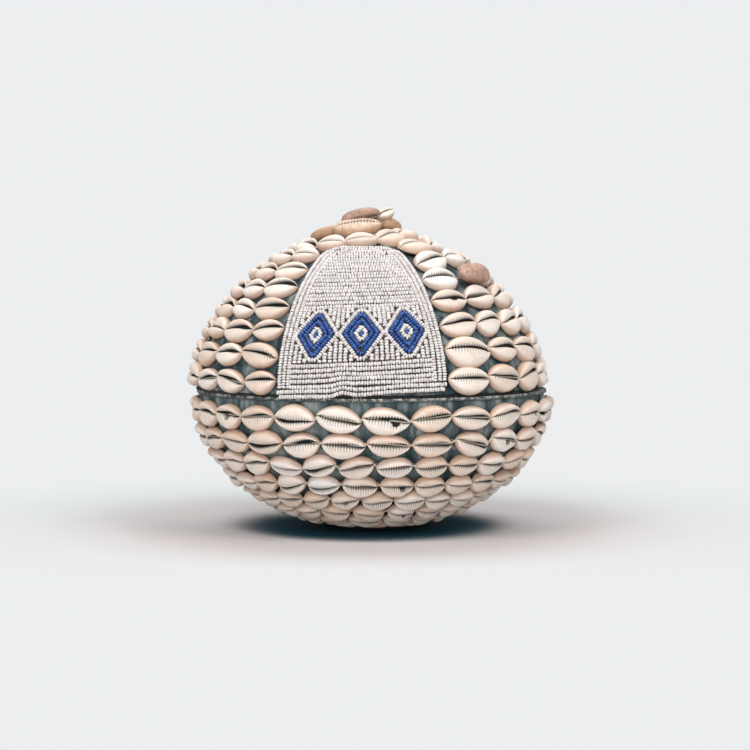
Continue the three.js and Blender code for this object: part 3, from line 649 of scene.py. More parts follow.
def cowries(length, width, height, tone, rng, bitten=None, back=0.0, gape=SHELL_GAPE):
    """Shells in their own frames, with x along the aperture, y across it and z out of it.

    Returns points (shell, column, ring, 3), the values on them and the faces of one shell.
    A section runs over one lip, into the aperture, over the other lip and back underneath,
    which is flat where back is 0 and domed by back on a whole shell.
    """
    count = np.size(length)
    length, width, height = (np.asarray(size).reshape(-1, 1) for size in (length, width, height))

    def draw(low, high):
        return rng.uniform(low, high, (count, 1))

    t = np.linspace(-1, 1, SHELL_COLUMNS)[None]
    x = (0.75 * t + 0.25 * np.sin(t * math.pi / 2)) * 0.9985
    skewed = x + draw(-0.09, 0.12) * (1 - x ** 2)
    plan = np.maximum(1 - np.abs(skewed) ** 2, 0)
    beak = 0.95 * mm * np.sqrt(1 - np.abs(x) ** 9)
    upper_share = draw(0.42, 0.48)
    upper_side = np.hypot(width * upper_share * plan ** draw(0.62, 0.75), beak)
    lower_side = np.hypot(width * (1 - upper_share) * plan ** draw(0.6, 0.72), beak)
    crest = height * (0.40 + 0.60 * plan ** 0.62) * (1 - np.abs(x) ** 16) ** 0.5
    base = 0.9 * mm * np.abs(x) ** 8

    fade = 1 - np.abs(x) ** 7
    middle = width * (draw(-0.02, 0.03) + draw(0.0, 0.10) * (1 - x ** 2) - draw(-0.05, 0.09) * x
                      + draw(0.0, 0.04) * np.sin(math.pi * x)) * fade
    opening = draw(*gape) * (0.36 + 0.64 * smooth(x, -0.75, 0.6))
    opening = opening * (1 - np.abs(x) ** 5) ** 0.6 + 0.1 * mm
    bite = 0 * x
    if bitten is not None:
        spot = draw(-0.1, 0.45)
        bite = bitten.reshape(-1, 1) * np.exp(-((x - spot) / draw(0.12, 0.2)) ** 4)
    teeth = np.round(draw(14.6, 17.4))
    window = smooth(0.93 - np.abs(x), 0, 0.2)

    over = np.linspace(0, math.pi / 2, 8)
    inward = over[1:]
    crest_at = 0.44
    across = np.concatenate([crest_at + (1 - crest_at) * np.cos(over) ** 0.85,
                             crest_at * (1 - np.sin(inward) ** 0.8)])
    raised = np.concatenate([np.sin(over) ** 0.85, 1 - 0.24 * (1 - np.cos(inward) ** 0.8)])

    def lip(edge, outer, reach, cut):
        """Distances out from the aperture, heights and tooth grooves over one lip."""
        share = across[None, None]
        spread = x[..., None] / (1 + 0.3 * share)
        wave = 0.5 - 0.5 * np.cos(math.pi * teeth[..., None] * spread)
        groove = wave ** 1.5 * window[..., None]
        near = np.clip(1 - share / reach, 0, 1)
        inner = edge + 0.55 * mm * groove[..., -1] * cut
        wide = np.maximum(outer - inner, 0.25 * mm)[..., None]
        high = crest[..., None] * raised - 0.5 * mm * groove * near ** 0.8
        return inner[..., None] + wide * share, high, 0.9 * groove * near ** 0.7

    up_far, up_high, up_groove = lip(opening + 0 * middle, upper_side - middle, 0.28, 1.35)
    low_far, low_high, low_groove = lip(opening + bite, lower_side + middle, 0.40, 0.9)
    wall = np.stack([up_far[..., -1], opening * 1.35, 0 * opening, -(opening + bite) * 1.2], -1)
    floor = crest[..., None] * np.array([0.6, 0.32, 0.24, 0.32])
    middle = middle[..., None]
    turn = np.linspace(0, math.pi, 11)[1:-1] if back else np.array([0.25, 0.5, 0.75]) * math.pi
    under_y = -np.cos(turn) * np.where(np.cos(turn) > 0, lower_side[..., None],
                                       upper_side[..., None])
    under_z = -back * np.sin(turn) ** 0.8 * (crest / height)[..., None]
    y = np.concatenate([middle + up_far, middle + wall, middle - low_far[..., ::-1], under_y], -1)
    z = np.concatenate([up_high, floor + 0 * wall, low_high[..., ::-1], under_z + 0 * under_y], -1)
    points = np.stack([x[..., None] * length[..., None] / 2 + 0 * y, y, z + base[..., None]], -1)

    under = np.zeros(len(turn))
    inside = np.array([0.96, 1, 1, 1])

    def both(values, between, below):
        """Values of a section from those of its upper lip."""
        return np.concatenate([values, between, values[::-1], below]) + 0 * y

    tips = smooth(np.abs(x), 0.8, 1.0)[..., None]
    upper = np.arange(y.shape[2]) < len(across)
    tone = np.asarray(tone, float).reshape(-1, 1, 1)
    # The values that the looks read mark the aperture, which gets near-black painted shade, more at
    # its wide end; the outer edges, which get the shell's orange-brown and painted shade; the tooth
    # grooves, which get painted shade; the paler rim of the aperture; and the tone.
    values = {
        "slot": both(smooth(across, 0.06, 0.0) * 0.4, inside, under),
        "lip": both(smooth(across, 0.5, 0.05), 0 * inside, under),
        "margin": np.maximum(both(smooth(across, 0.72, 1.0), 0 * inside, 1 + under), 0.8 * tips),
        "groove": np.concatenate([up_groove, up_groove[..., -1:] * (inside < 1),
                                  0.8 * low_groove[..., ::-1], 0 * under_y], -1),
        "deep": smooth(x, -0.4, 0.6)[..., None] + 0 * y,
        "tone": np.clip(tone * (1 + 0.35 * upper), 0, 1) + 0 * y,
    }
    fan = np.array([[0, k + 1, k + 2] for k in range(y.shape[2] - 2)])
    last = (SHELL_COLUMNS - 1) * y.shape[2]
    faces = grid(SHELL_COLUMNS, y.shape[2], False, True)[:, ::-1]
    return points, values, faces, np.concatenate([fan, last + fan[:, ::-1]])


def turned_frames(frames, yaw, roll):
    """Frames turned by yaw about their third direction, then by roll about their first."""
    along, across, out = frames
    along, across = spun(along, across, yaw[:, None])
    return along, *spun(across, out, roll[:, None])


def in_world(points, centres, frames):
    """Points of items in their own frames, moved to their centres and directions."""
    spare = (slice(None),) + (None,) * (points.ndim - 2)
    return centres[spare] + sum(points[..., k:k + 1] * frames[k][spare] for k in range(3))


def leaning_row(half, s, lean, pitch, start, sweep, rng):
    """Azimuths and distances of a row's shells, how the row slopes there, and their rooms."""
    steps = 360
    azimuth = start + sweep * (np.arange(steps) + 0.5) / steps
    r, _, _, along_z = half.at(s + lean * np.sin(azimuth))
    radius = r + along_z * half.side * (SHELL_LIFT + SHELL_HEIGHT / 2)
    stretches = np.hypot(radius, lean * np.cos(azimuth)) * sweep / steps
    lengths = np.concatenate([[0], np.cumsum(stretches)])
    fit = lengths[-1] / pitch
    count = max(3, round(fit) if sweep >= TURN else math.floor(fit))
    unevenness = UNEVENNESS[half.body]
    rooms = rng.uniform(1 - unevenness, 1 + unevenness, count)
    rooms[0] *= 1 + unevenness
    rooms *= lengths[-1] / rooms.sum()
    edges = start + sweep * np.arange(steps + 1) / steps
    shells = np.interp(np.cumsum(rooms) - rooms / 2, lengths, edges)
    slope = np.arctan2(half.side * lean * np.cos(shells), np.interp(shells, azimuth, radius))
    return shells, s + lean * np.sin(shells), slope, rooms


def nearest(azimuths, degrees):
    """Number of the shell of a row whose azimuth is nearest to one given in degrees."""
    away = (azimuths - math.radians(degrees) + math.pi) % TURN - math.pi
    return int(np.argmin(np.abs(away)))


def strung_row(half, i, pitch, start, sweep, lean=0.0, growth=0.0):
    """Makes row i of a half. Returns the places of its shells' tips, where the thread runs."""
    row = i + 1 if half is bowl else i + 1 + len(BOWL_ROWS)
    rng = np.random.default_rng(100 + row)
    azimuths, distances, slope, rooms = leaning_row(
        half, half.rows[i], lean, pitch, start, sweep, rng)
    count = len(azimuths)
    chance = np.sin(row * 12.9898 + np.arange(count) * 78.233) * 43758.5453
    size = 0.9 + 0.1 * (chance - np.floor(chance))
    top = row == len(BOWL_ROWS) + len(LID_ROWS)
    lengths = rooms * rng.uniform(*(TOP_ROW_FILL if top else SHELL_FILL), count)
    breadth = rng.uniform(*BREADTH[half.body], count)
    widths = 2 * (half.row_half + growth * np.sin(azimuths)) * size * breadth
    widths *= (rooms / rooms.mean()) ** 0.5
    heights = SHELL_HEIGHT * size
    tones = rng.uniform(*SHELL_TONES, count)
    flipped = rng.uniform(0, 1, count) < FLIPPED_SHARE
    bitten = np.where(rng.uniform(0, 1, count) < CHIPPED_SHARE,
                      rng.uniform(*CHIP_DEPTH, count), 0) * mm
    for values, odd_shells, value in ((bitten, BROKEN_SHELLS, BROKEN_DEPTH),
                                      (tones, WHITE_SHELLS, 0)):
        for odd_row, azimuth in odd_shells:
            if row == odd_row:
                values[nearest(azimuths, azimuth)] = value
    yaw = slope + rng.normal(0, math.radians(SHELL_TURN), count)
    yaw = yaw + np.where(flipped, math.pi, 0)
    shingled = SHINGLED_ROWS[0] <= row <= SHINGLED_ROWS[1]
    roll = rng.normal(math.radians(SHINGLE_ROLL if shingled else 0), math.radians(SHELL_ROLL),
                      count)
    roll = np.where(flipped, -roll, roll)
    lift = SHINGLE_LIFT if shingled else LOWEST_ROW_LIFT if row == len(BOWL_ROWS) else 0
    centres = half.place(distances, azimuths, SHELL_LIFT + lift)
    frames = half.frames(distances, azimuths)
    centres = centres + frames[1] * rng.normal(0, SHELL_STRAY, count)[:, None]
    frames = turned_frames(frames, yaw, roll)

    points, values, faces, caps = cowries(lengths, widths, heights, tones, rng, bitten)
    pile = Pile()
    flat = np.ones(count, bool)
    if row == ROLLED_ROW:
        k = nearest(azimuths, ROLLED_AZIMUTH)
        flat[k] = False
        thick = ROLLED_HEIGHT * heights[k]
        whole = cowries(ROLLED_LENGTH, ROLLED_WIDTH * widths[k], thick, ROLLED_TONE, rng, None,
                        thick)
        along, across, out = (direction[k:k + 1] for direction in frames)
        centre = centres[k:k + 1] + out * ROLLED_RISE * widths[k] + (along - across) * ROLLED_SHIFT
        turned = turned_frames((along, across, out), np.radians([ROLLED_YAW]),
                               np.radians([ROLLED_ROLL]))
        pile.add(in_world(whole[0], centre, turned), *whole[2:], look=1, **whole[1])
    number, shown = points.shape[1] * points.shape[2], int(flat.sum())
    pile.add(in_world(points, centres, frames)[flat], copies(faces, shown, number),
             copies(caps, shown, number), **{key: value[flat] for key, value in values.items()})
    pile.make(f"{half.body}_cowries_row_{i + 1}", half.body, "cowrie", "cowrie", "violet")

    reach = frames[0] * (lengths * 0.47 * np.where(flipped, -1, 1))[:, None]
    lifted = centres + frames[2] * THREAD_HEIGHT
    return np.stack([lifted - reach, lifted + reach], 1).reshape(-1, 3)


def add_thread(pile, half, tips, closed):
    """The thread through a row's shells, with a stitch over it between each two shells."""
    following = np.roll(tips, -1, 0)
    gaps = range(1, len(tips) if closed else len(tips) - 1, 2)
    path = []
    for k, tip in enumerate(tips):
        path += [tip, (tip + following[k]) / 2] if k in gaps else [tip]
    pile.add(*tube(path, THREAD_RADIUS, 8, closed))
    for k in gaps:
        middle = (tips[k] + following[k]) / 2
        out = middle - np.array([half.centre_x, 0, SEAM_HEIGHT])
        out /= np.linalg.norm(out)
        along = (following[k] - tips[k]) / max(np.linalg.norm(following[k] - tips[k]), 1e-9)
        across = np.cross(out, along)
        loop = [middle + (THREAD_RADIUS + 0.22 * mm) * (across * math.sin(turn)
                                                        + out * math.cos(turn))
                for turn in STITCH_TURNS]
        loop[0] = loop[0] - out * 1.0 * mm + across * -0.3 * mm
        loop[-1] = loop[-1] - out * 1.0 * mm + across * 0.3 * mm
        pile.add(*tube(loop, STITCH_RADIUS, 6))


def panel_middle(s):
    """Azimuth of the panel's middle line at distances s up the lid."""
    return -np.arcsin(np.minimum(PANEL_ASIDE / lid.radius(s), 1))


def row_lean(i):
    """How much nearer the axis row number i of the lid is at +X than at its middle."""
    return LID_LEAN * (i + 0.5) / len(LID_ROWS)


def wedge_angle(s):
    return np.radians(PANEL_HALF_ANGLE + PANEL_FLARE * np.minimum(s / PANEL_FLARE_END, 1))


def angle_of(width, s):
    return width / lid.radius(s)


def add_shells():
    threads = Pile()
    for i, (pitch, azimuth) in enumerate(BOWL_ROWS):
        start = math.radians(azimuth) - pitch / bowl.radius(bowl.rows[i]) / 2
        add_thread(threads, bowl, strung_row(bowl, i, pitch, start, TURN), True)
    threads.make("bowl_threads", "bowl", "tape", "thread", replaced=[])

    threads = Pile()
    for i, (s, pitch) in enumerate(zip(lid.rows, LID_ROWS)):
        lean = row_lean(i)
        edges = []
        for side in (1, -1):
            at = s + lean * math.sin(panel_middle(s) + side * wedge_angle(s))
            ends = np.array([at - lid.row_half, at + lid.row_half])
            edges.append(np.max(wedge_angle(ends) + side * panel_middle(ends)
                                + angle_of(PANEL_SIDE_MARGIN, ends)))
        start, sweep = edges[0], TURN - sum(edges)
        above_panel = i == len(LID_ROWS) - 1
        if above_panel:
            middle = math.radians(TOP_ROW_AZIMUTH)
            start, sweep = middle - angle_of(pitch / 2, s + lean * math.sin(middle)), TURN
        tips = strung_row(lid, i, pitch, start, sweep, lean, LID_LEAN / len(LID_ROWS) / 2)
        add_thread(threads, lid, tips, above_panel)
    threads.make("lid_threads", "lid", "tape", "thread", replaced=[])


def crown_shell(name, size, base, frames, seed, share):
    """A whole shell with its underside at base, and share of its height over its widest part."""
    length, width, height = size
    roll, tip, lift, tone = CROWN_POSES[name]
    along, across, out = (direction[None] for direction in frames)
    along, out = spun(along, out, math.radians(tip))
    frames = turned_frames((along, across, out), np.zeros(1), np.radians([roll]))
    points, values, faces, caps = cowries(
        length, width, share * height, tone, np.random.default_rng(seed), None,
        (1 - share) * height, CROWN_GAPE)
    under = share if abs(roll) > 90 else 1 - share
    centre = base + out * (under * height + lift)
    add_piece(f"crown_cowrie_{name}", "lid", "crown_cowrie", "violet" if name == "top" else "crown",
              (in_world(points, centre, frames), faces, caps), values)


def add_crown():
    """Larger cowries on top: three that lie on the slope, and three level on them."""
    shelf = 0
    for k, (name, (*size, turn, (x, y))) in enumerate(LOWER_CROWN.items()):
        turn, (x, y) = LAID_ANEW.get(name, (turn, (x, y)))
        reach = math.hypot(x, y)
        _, z, along_r, along_z = lid.at(lid.length - reach)
        out = np.array([x / reach * along_z, y / reach * along_z, -along_r])
        along = np.array([math.cos(math.radians(turn)), math.sin(math.radians(turn)), 0])
        along -= out * along.dot(out)
        along /= np.linalg.norm(along)
        base = np.array([x - LID_OFFSET, y, z]) + out * CROWN_LIFT
        crown_shell(name, size, base, (along, np.cross(out, along), out), 300 + k, 0.55)
        shelf = max(shelf, base[2] - size[2] * along_r + size[1] / 4 * along_z + GAP)
    for k, (name, (*size, turn, (x, y))) in enumerate(UPPER_CROWN.items()):
        cosine, sine = math.cos(math.radians(turn)), math.sin(math.radians(turn))
        frames = np.array([(cosine, sine, 0), (-sine, cosine, 0), (0, 0, 1.0)])
        crown_shell(name, size, np.array([x - LID_OFFSET, y, shelf]), frames, 310 + k, 0.4)


def add_cover(half, seed):
    """Cloth glued over a gourd half, puckered into folds that run towards the axis."""
    rng = np.random.default_rng(seed)
    rows, under_rows, folds = 96, 20, 110
    outer = half.length * (1 - np.linspace(0, 1, rows)[None])
    fold, streak = np.zeros((AROUND, rows)), np.zeros((AROUND, rows))
    for _ in range(folds):
        at, reach = rng.uniform(0, TURN), rng.uniform(12, 45) * mm
        middle = rng.uniform(0, 0.8) * half.length
        wide = rng.uniform(1.2, 3.2) * mm
        lean = rng.uniform(-0.15, 0.15)
        far = (ROUND - at - lean * (outer - middle) / BOWL_RADIUS + math.pi) % TURN
        across = (far - math.pi) * half.radius(outer)
        shape = np.exp(-(across / wide) ** 2) * np.exp(-((outer - middle) / reach) ** 2)
        fold += rng.uniform(0.15, 0.5) * mm * shape
        # The fold crests are painted paler: partly streaks in the cloth, partly a painted
        # highlight.
        streak += rng.uniform(0.2, 0.8) * shape
    near_axis = smooth(outer, half.length, half.length - 12 * mm)
    inner = half.length * np.linspace(0, 1, under_rows)[None]
    # Painted shade on the cloth: a dark band along the middle of each row, under its shells, and on
    # the bowl more of it towards the bottom.
    hollow = 0.75 * sum(np.exp(-((outer - s) / (0.6 * half.row_half)) ** 2) for s in half.rows)
    if half is bowl:
        hollow = np.maximum(hollow, 0.9 * smooth(outer, 30 * mm, 60 * mm))

    def over_only(values):
        values = np.clip(values, 0, 1) + 0 * ROUND
        return on_dome(np.concatenate([values, np.zeros((AROUND, under_rows))], 1))

    cover = add_piece(
        f"{half.body}_cover", half.body, "cloth", "cloth",
        walled_dome(half.place(outer, ROUND, fold * near_axis), half.place(inner, ROUND, -CLOTH),
                    half),
        {"streak": over_only(np.clip(streak, 0, 1) * near_axis), "hollow": over_only(hollow)})


def add_gourd(half, seed):
    rows = 70
    s = half.length * np.linspace(0, 1, rows)[None]
    ripple = smooth(s, 6 * mm, 30 * mm) * np.cos(s * 70 + seed) * waves(
        ROUND + s * 9, seed, (3, 5, 8, 13), 0.35 * mm)
    wear = np.zeros((AROUND, 2 * rows))
    wear[:, rows - 1:rows + 1] = 1
    add_piece(f"{half.body}_gourd", half.body, "gourd", "gourd",
              walled_dome(half.place(s[:, ::-1], ROUND, GOURD_OUTSIDE),
                          half.place(s, ROUND, GOURD_INSIDE + ripple), half),
              {"wear": on_dome(wear)})


def rounded(corners, radius, steps=3):
    """A closed outline with its corners rounded off."""
    corners = [np.array(corner) for corner in corners]
    line = []
    for k, corner in enumerate(corners):
        before, after = corners[k - 1] - corner, corners[(k + 1) % len(corners)] - corner
        before_long, after_long = np.linalg.norm(before), np.linalg.norm(after)
        cut = min(radius, 0.45 * before_long, 0.45 * after_long)
        first, last = corner + before / before_long * cut, corner + after / after_long * cut
        for t in np.linspace(0, 1, steps + 1):
            line.append((1 - t) ** 2 * first + 2 * t * (1 - t) * corner + t * t * last)
    return np.array(line)


def all_round(line):
    """r and z of a line at each azimuth."""
    return line[None, :, 0] + 0 * ROUND, line[None, :, 1] + 0 * ROUND


def add_rim_pieces():
    inside, leg = BOWL_RADIUS + GOURD_INSIDE, BOWL_RADIUS + GAP
    r, z = all_round(rounded([
        (inside, BOWL_RIM + GAP), (leg, BOWL_RIM + GAP), (leg, SEAM_HEIGHT - BINDING_LEG),
        (leg + BINDING, SEAM_HEIGHT - BINDING_LEG), (leg + BINDING, SEAM_HEIGHT),
        (inside, SEAM_HEIGHT)], 0.3 * mm))
    low = smooth(z, SEAM_HEIGHT - 1.2 * mm, SEAM_HEIGHT - BINDING_LEG)
    z = z + low * waves(ROUND, 5, (7, 19, 31, 53, 83), 0.22 * mm)
    r = r + smooth(r, leg, leg + BINDING) * waves(ROUND, 6, (11, 29, 47, 71), 0.12 * mm)
    add_piece("bowl_rim_binding", "bowl", "tape", "tape", turned_ring(r, z, bowl),
              {"wear": smooth(z, SEAM_HEIGHT - 0.9 * mm, SEAM_HEIGHT - 0.3 * mm)})

    inside, outside = LID_RADIUS + GOURD_INSIDE, LID_RADIUS + FACING_OVERHANG
    r, z = all_round(rounded([
        (inside, SEAM_HEIGHT + GAP), (outside, SEAM_HEIGHT + GAP), (outside, LID_RIM - GAP),
        (inside, LID_RIM - GAP)], 0.3 * mm))
    r = r + smooth(r, inside, outside) * waves(ROUND, 8, (5, 13, 23, 41, 67, 97), 0.45 * mm)
    add_piece("lid_rim_facing", "lid", "dark_leather", "dark_leather", turned_ring(r, z, lid),
              {"wear": smooth(r, inside, outside)})


def add_collar():
    low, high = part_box("seat_collar")
    top, bottom = high.z, low.z
    under = bowl.radius(9 * mm) + GOURD_INSIDE - GAP
    wall = BOWL_RADIUS + GOURD_INSIDE - GAP
    proud = wall - 1.3 * mm
    r, z = all_round(rounded([
        (under - 0.2 * mm, bottom), (wall - 0.1 * mm, BOWL_RIM - GAP), (proud, SEAM_HEIGHT),
        (proud, top), (proud - COLLAR_WALL, top),
        (proud - COLLAR_WALL, SEAM_HEIGHT - COLLAR_WALL / 2),
        (wall - COLLAR_WALL, BOWL_RIM - GAP - COLLAR_WALL / 2), (under - COLLAR_WALL, bottom)],
        0.9 * mm, 4))
    z = z + smooth(z, bottom, top) * waves(ROUND, 12, (2, 3, 5, 9), 0.15 * mm)
    add_piece("seat_collar", "bowl", "dark_leather", "dark_leather", turned_ring(r, z, bowl),
              {"wear": smooth(z, SEAM_HEIGHT, top)})


def add_pad():
    s = np.linspace(bowl.length, bowl.length - PAD_RADIUS, 20)
    over = np.stack(bowl.at(s)[:2], -1) - [0, GAP]
    edge = over[-1, 1]
    side = rounded([(PAD_RADIUS - 3 * mm, edge), (PAD_RADIUS, edge), (PAD_RADIUS, 0),
                    (PAD_RADIUS - 3 * mm, 0)], 0.9 * mm, 4)[3:-3]
    under = np.linspace([PAD_RADIUS - 2.5 * mm, 0], [0, 0], 12)
    r, z = all_round(np.concatenate([over[:-2], side, under]))
    r = r * (1 + waves(ROUND, 15, (2, 3, 5, 9), 0.006))
    add_piece("base_pad", "bowl", "pad_leather", "pad_leather", turned_dome(r, z, bowl))


border_width = BORDER_STRANDS * STRAND_PITCH
panel_top = float(lid.rows[-1] + row_lean(len(LID_ROWS) - 1) * math.sin(panel_middle(lid.rows[-1]))
                  - lid.row_half - PANEL_TOP_MARGIN)


def panel_half_angle(s):
    """Half angle of the panel, with its top corners rounded."""
    reach = np.clip(s - (panel_top - PANEL_CORNER), 0, PANEL_CORNER)
    return wedge_angle(s) - angle_of(PANEL_CORNER - np.sqrt(PANEL_CORNER ** 2 - reach ** 2), s)


def field_half_angle(s):
    return panel_half_angle(s) - angle_of(border_width + GAP, s)


def tilted(s, azimuth):
    """A path on the panel, raised towards +X by the tilt of its beadwork."""
    across = (azimuth - panel_middle(s)) * lid.radius(s)
    moved = s + PANEL_TILT * across * smooth(s, panel_top, panel_top - TILT_FADE)
    return moved, azimuth + panel_middle(moved) - panel_middle(s)


class Beads(Pile):
    """Beads strung along paths on the lid, and the threads through them."""

    bulge = np.radians(np.linspace(-112, 112, 13))
    section = np.stack([0.49 * np.sin(bulge), 0.17 + 0.33 * np.cos(bulge)], -1)
    sides = 12

    def __init__(self, seed):
        super().__init__()
        self.rng = np.random.default_rng(seed)

    def strand(self, s, azimuth, look=0):
        """Strings beads along a path given by distances and azimuths on the lid."""
        s, azimuth = tilted(*np.broadcast_arrays(np.asarray(s, float), azimuth))
        path = lid.place(s, azimuth, BEAD_MIDDLE)
        steps = np.linalg.norm(np.diff(path, axis=0), axis=1)
        lengths = np.concatenate([[0], np.cumsum(steps)])
        count = max(1, int(lengths[-1] / BEAD_PITCH))
        if lengths[-1] < 0.6 * BEAD_PITCH:
            return

        def along_path(places):
            return np.stack([np.interp(places, lengths, line) for line in path.T], -1)

        def draw(low, high):
            return self.rng.uniform(low, high, (count, 1, 1))

        def wander(spread, width=1):
            return self.rng.normal(0, spread, (count, width))

        at = (np.arange(count) + 0.5) / count * lengths[-1] + wander(0.04 * BEAD_PITCH)[:, 0]
        centres = along_path(at)
        along = along_path(at + 0.3 * mm) - along_path(at - 0.3 * mm) + wander(0.06 * mm, 3)
        along /= np.linalg.norm(along, axis=1, keepdims=True)
        _, _, out = lid.frames(np.interp(at, lengths, s), np.interp(at, lengths, azimuth))
        across = np.cross(out, along)
        across /= np.linalg.norm(across, axis=1, keepdims=True)
        out = np.cross(along, across)
        centres = centres + across * wander(0.085 * mm) + out * wander(0.07 * mm)
        long = lengths[-1] / count * draw(0.92, 1.03)
        wide = BEAD_DIAMETER * draw(1.03, 1.15)
        turn = (np.arange(self.sides) * TURN / self.sides)[None, :, None]
        place, radius = self.section.T
        points = np.stack([place * long + 0 * turn, radius * wide * np.cos(turn),
                           radius * wide * np.sin(turn)], -1)
        faces = grid(self.sides, len(radius), True, True)[:, ::-1]
        # Painted shade at the bead's ends, where it meets its neighbours.
        slot = smooth(radius, 0.34, 0.16) + np.zeros((count, self.sides, 1))
        self.add(in_world(points, centres, (along, across, out)),
                 copies(faces, count, self.sides * len(radius)), look=look, slot=slot,
                 tone=draw(0, 1) + 0 * slot)
        ends = lid.place(s[[0, -1]], azimuth[[0, -1]], BEADS_UNDER - 0.5 * mm)
        cord = np.concatenate([ends[:1], path[:: max(1, len(path) // 24)], path[-1:], ends[1:]])
        keep = np.concatenate([[True], np.linalg.norm(np.diff(cord, axis=0), axis=1) > 0.1 * mm])
        self.add(*tube(cord[keep], BEAD_THREAD_RADIUS, 5), look=2)

    def finish(self, name, node, slot="white_bead"):
        self.make(name, "lid", slot, "white", "blue", "thread", replaced=[node])


def edge_line(inset):
    """Half widths and distances along a line that runs inside the panel's edge by inset."""
    s = np.linspace(0, panel_top - 0.02 * mm, 700)
    half = panel_half_angle(s) * lid.radius(s)
    slope = np.gradient(half, s)
    size = np.hypot(1, slope)
    return half - inset / size, s + inset * slope / size


def half_width(s, inset):
    """Half the width of the panel at a distance, where its edge is drawn in by inset."""
    half, distance = edge_line(inset)
    return float(np.interp(s, distance, half))


def border_stop(k):
    """Where side strand number k, counted inwards, stops up the lid."""
    return panel_top - (4.6 + 2.2 * k) * mm


def from_middle(x, s):
    """Azimuths of points across the panel, from their widths from its middle line."""
    return panel_middle(s) + angle_of(x, s)


def sway(azimuth, seed, height):
    return waves(azimuth * 3, seed, (1, 2, 4, 7), height)


def add_upper_strands():
    """Strands across the panel, drawn in between those side strands that reach so high.

    The uppermost ones bend down round the panel's corners to the ends of the side strands.
    """
    beads = Beads(41)
    rows = round((panel_top - BAND_END) / UPPER_STRAND_PITCH)
    for k in range(rows):
        level = BAND_END + (k + 0.5) * ((panel_top - BAND_END) / rows)
        beside = sum(level < border_stop(side) for side in range(BORDER_STRANDS))
        if beside:
            reach = half_width(level, (beside - 0.05) * STRAND_PITCH)
        else:
            half, distance = edge_line(panel_top - level)
            reach = float(np.interp(max(border_stop(0), level - 5 * mm), distance, half))
        x = np.linspace(-reach, reach, 60)
        s = level + 0 * x if beside else np.interp(np.abs(x), half[::-1], distance[::-1])
        azimuth = from_middle(x, s)
        beads.strand(s + sway(azimuth, 50 + k, 0.2 * mm), azimuth)
    beads.finish("panel_strands_upper", "panel_beads_upper")


def add_lower_strands():
    """Strands under the motifs. The lowest hang down to the seam, further to the left."""
    beads = Beads(43)
    lowest = 0.1 * mm
    pitch = (BAND_START - 0.3 * mm - lowest) / LOWER_STRANDS
    for k in range(LOWER_STRANDS):
        level = lowest + (k + 0.5) * pitch
        inset = 1.3 * mm if k == 0 else 0.1 * mm if k < 2 else border_width - 0.3 * mm
        x = np.linspace(-1, 1, 60) * half_width(level, inset)
        loose = (1 - k / LOWER_STRANDS) ** 1.5
        drop = smooth(x, -9 * mm, -17 * mm) * 0.9 * mm
        hump = 1.3 * mm * np.exp(-((x + 10 * mm) / (4.5 * mm)) ** 2)
        hang = loose * (hump - drop + waves(x * 45, 7 + k // 2, (1, 2, 3), 0.4 * mm))
        azimuth = from_middle(x, level)
        beads.strand(level + hang + sway(azimuth, 70 + k, 0.14 * mm), azimuth)
    for azimuth, reach in ((-3.5, 1.3 * mm), (-2.2, 0.7 * mm), (-4.4, -0.5 * mm)):
        fall = np.linspace(0, 1, 7)
        end = lid.place(1 * mm - fall * 4.5 * mm, math.radians(azimuth), BEADS_UNDER)
        end[:, 0] += reach * fall ** 2
        end[:, 1] -= 1.4 * mm * np.sin(fall * 2.4)
        beads.add(*tube(end, 0.1 * mm, 5), look=2)
    beads.finish("panel_strands_low", "panel_beads_lower")


def add_border(side, name):
    beads = Beads(44 + side)
    for k in range(BORDER_STRANDS):
        s = np.linspace(PANEL_RIM_MARGIN + 4.2 * mm, border_stop(k), 120)
        half, distance = edge_line((k + 0.5) * STRAND_PITCH)
        x = np.interp(s, distance, half) + waves(s * 60, 90 + 3 * k + side, (1, 2, 3), 0.15 * mm)
        beads.strand(s, from_middle(side * x, s))
    beads.finish(name, name)


def lozenge_edge(inset):
    """Half width and half height of a lozenge drawn in by inset, and where its tips stop."""
    slope_y = LOZENGE_HALF_WIDTH - LOZENGE_TIP
    size = math.hypot(LOZENGE_HALF_HEIGHT, slope_y)
    reach = LOZENGE_HALF_HEIGHT / size * LOZENGE_HALF_WIDTH - inset
    return (reach * size / LOZENGE_HALF_HEIGHT, reach * size / slope_y,
            LOZENGE_HALF_HEIGHT - inset)


def lozenge_loop(inset):
    """A closed path round a lozenge, as offsets across and up from its middle."""
    half_wide, half_high, stop = lozenge_edge(inset)
    turn = np.linspace(0, TURN, 161)
    across = np.abs(np.cos(turn)) / half_wide + np.abs(np.sin(turn)) / half_high
    loop = np.stack([np.cos(turn), np.sin(turn)]) / across
    for _ in range(6):
        open_loop = loop[:, :-1]
        loop = (np.roll(open_loop, 1, 1) + 2 * open_loop + np.roll(open_loop, -1, 1)) / 4
        loop = np.concatenate([loop, loop[:, :1]], 1)
    return loop[0], np.clip(loop[1], -stop, stop)


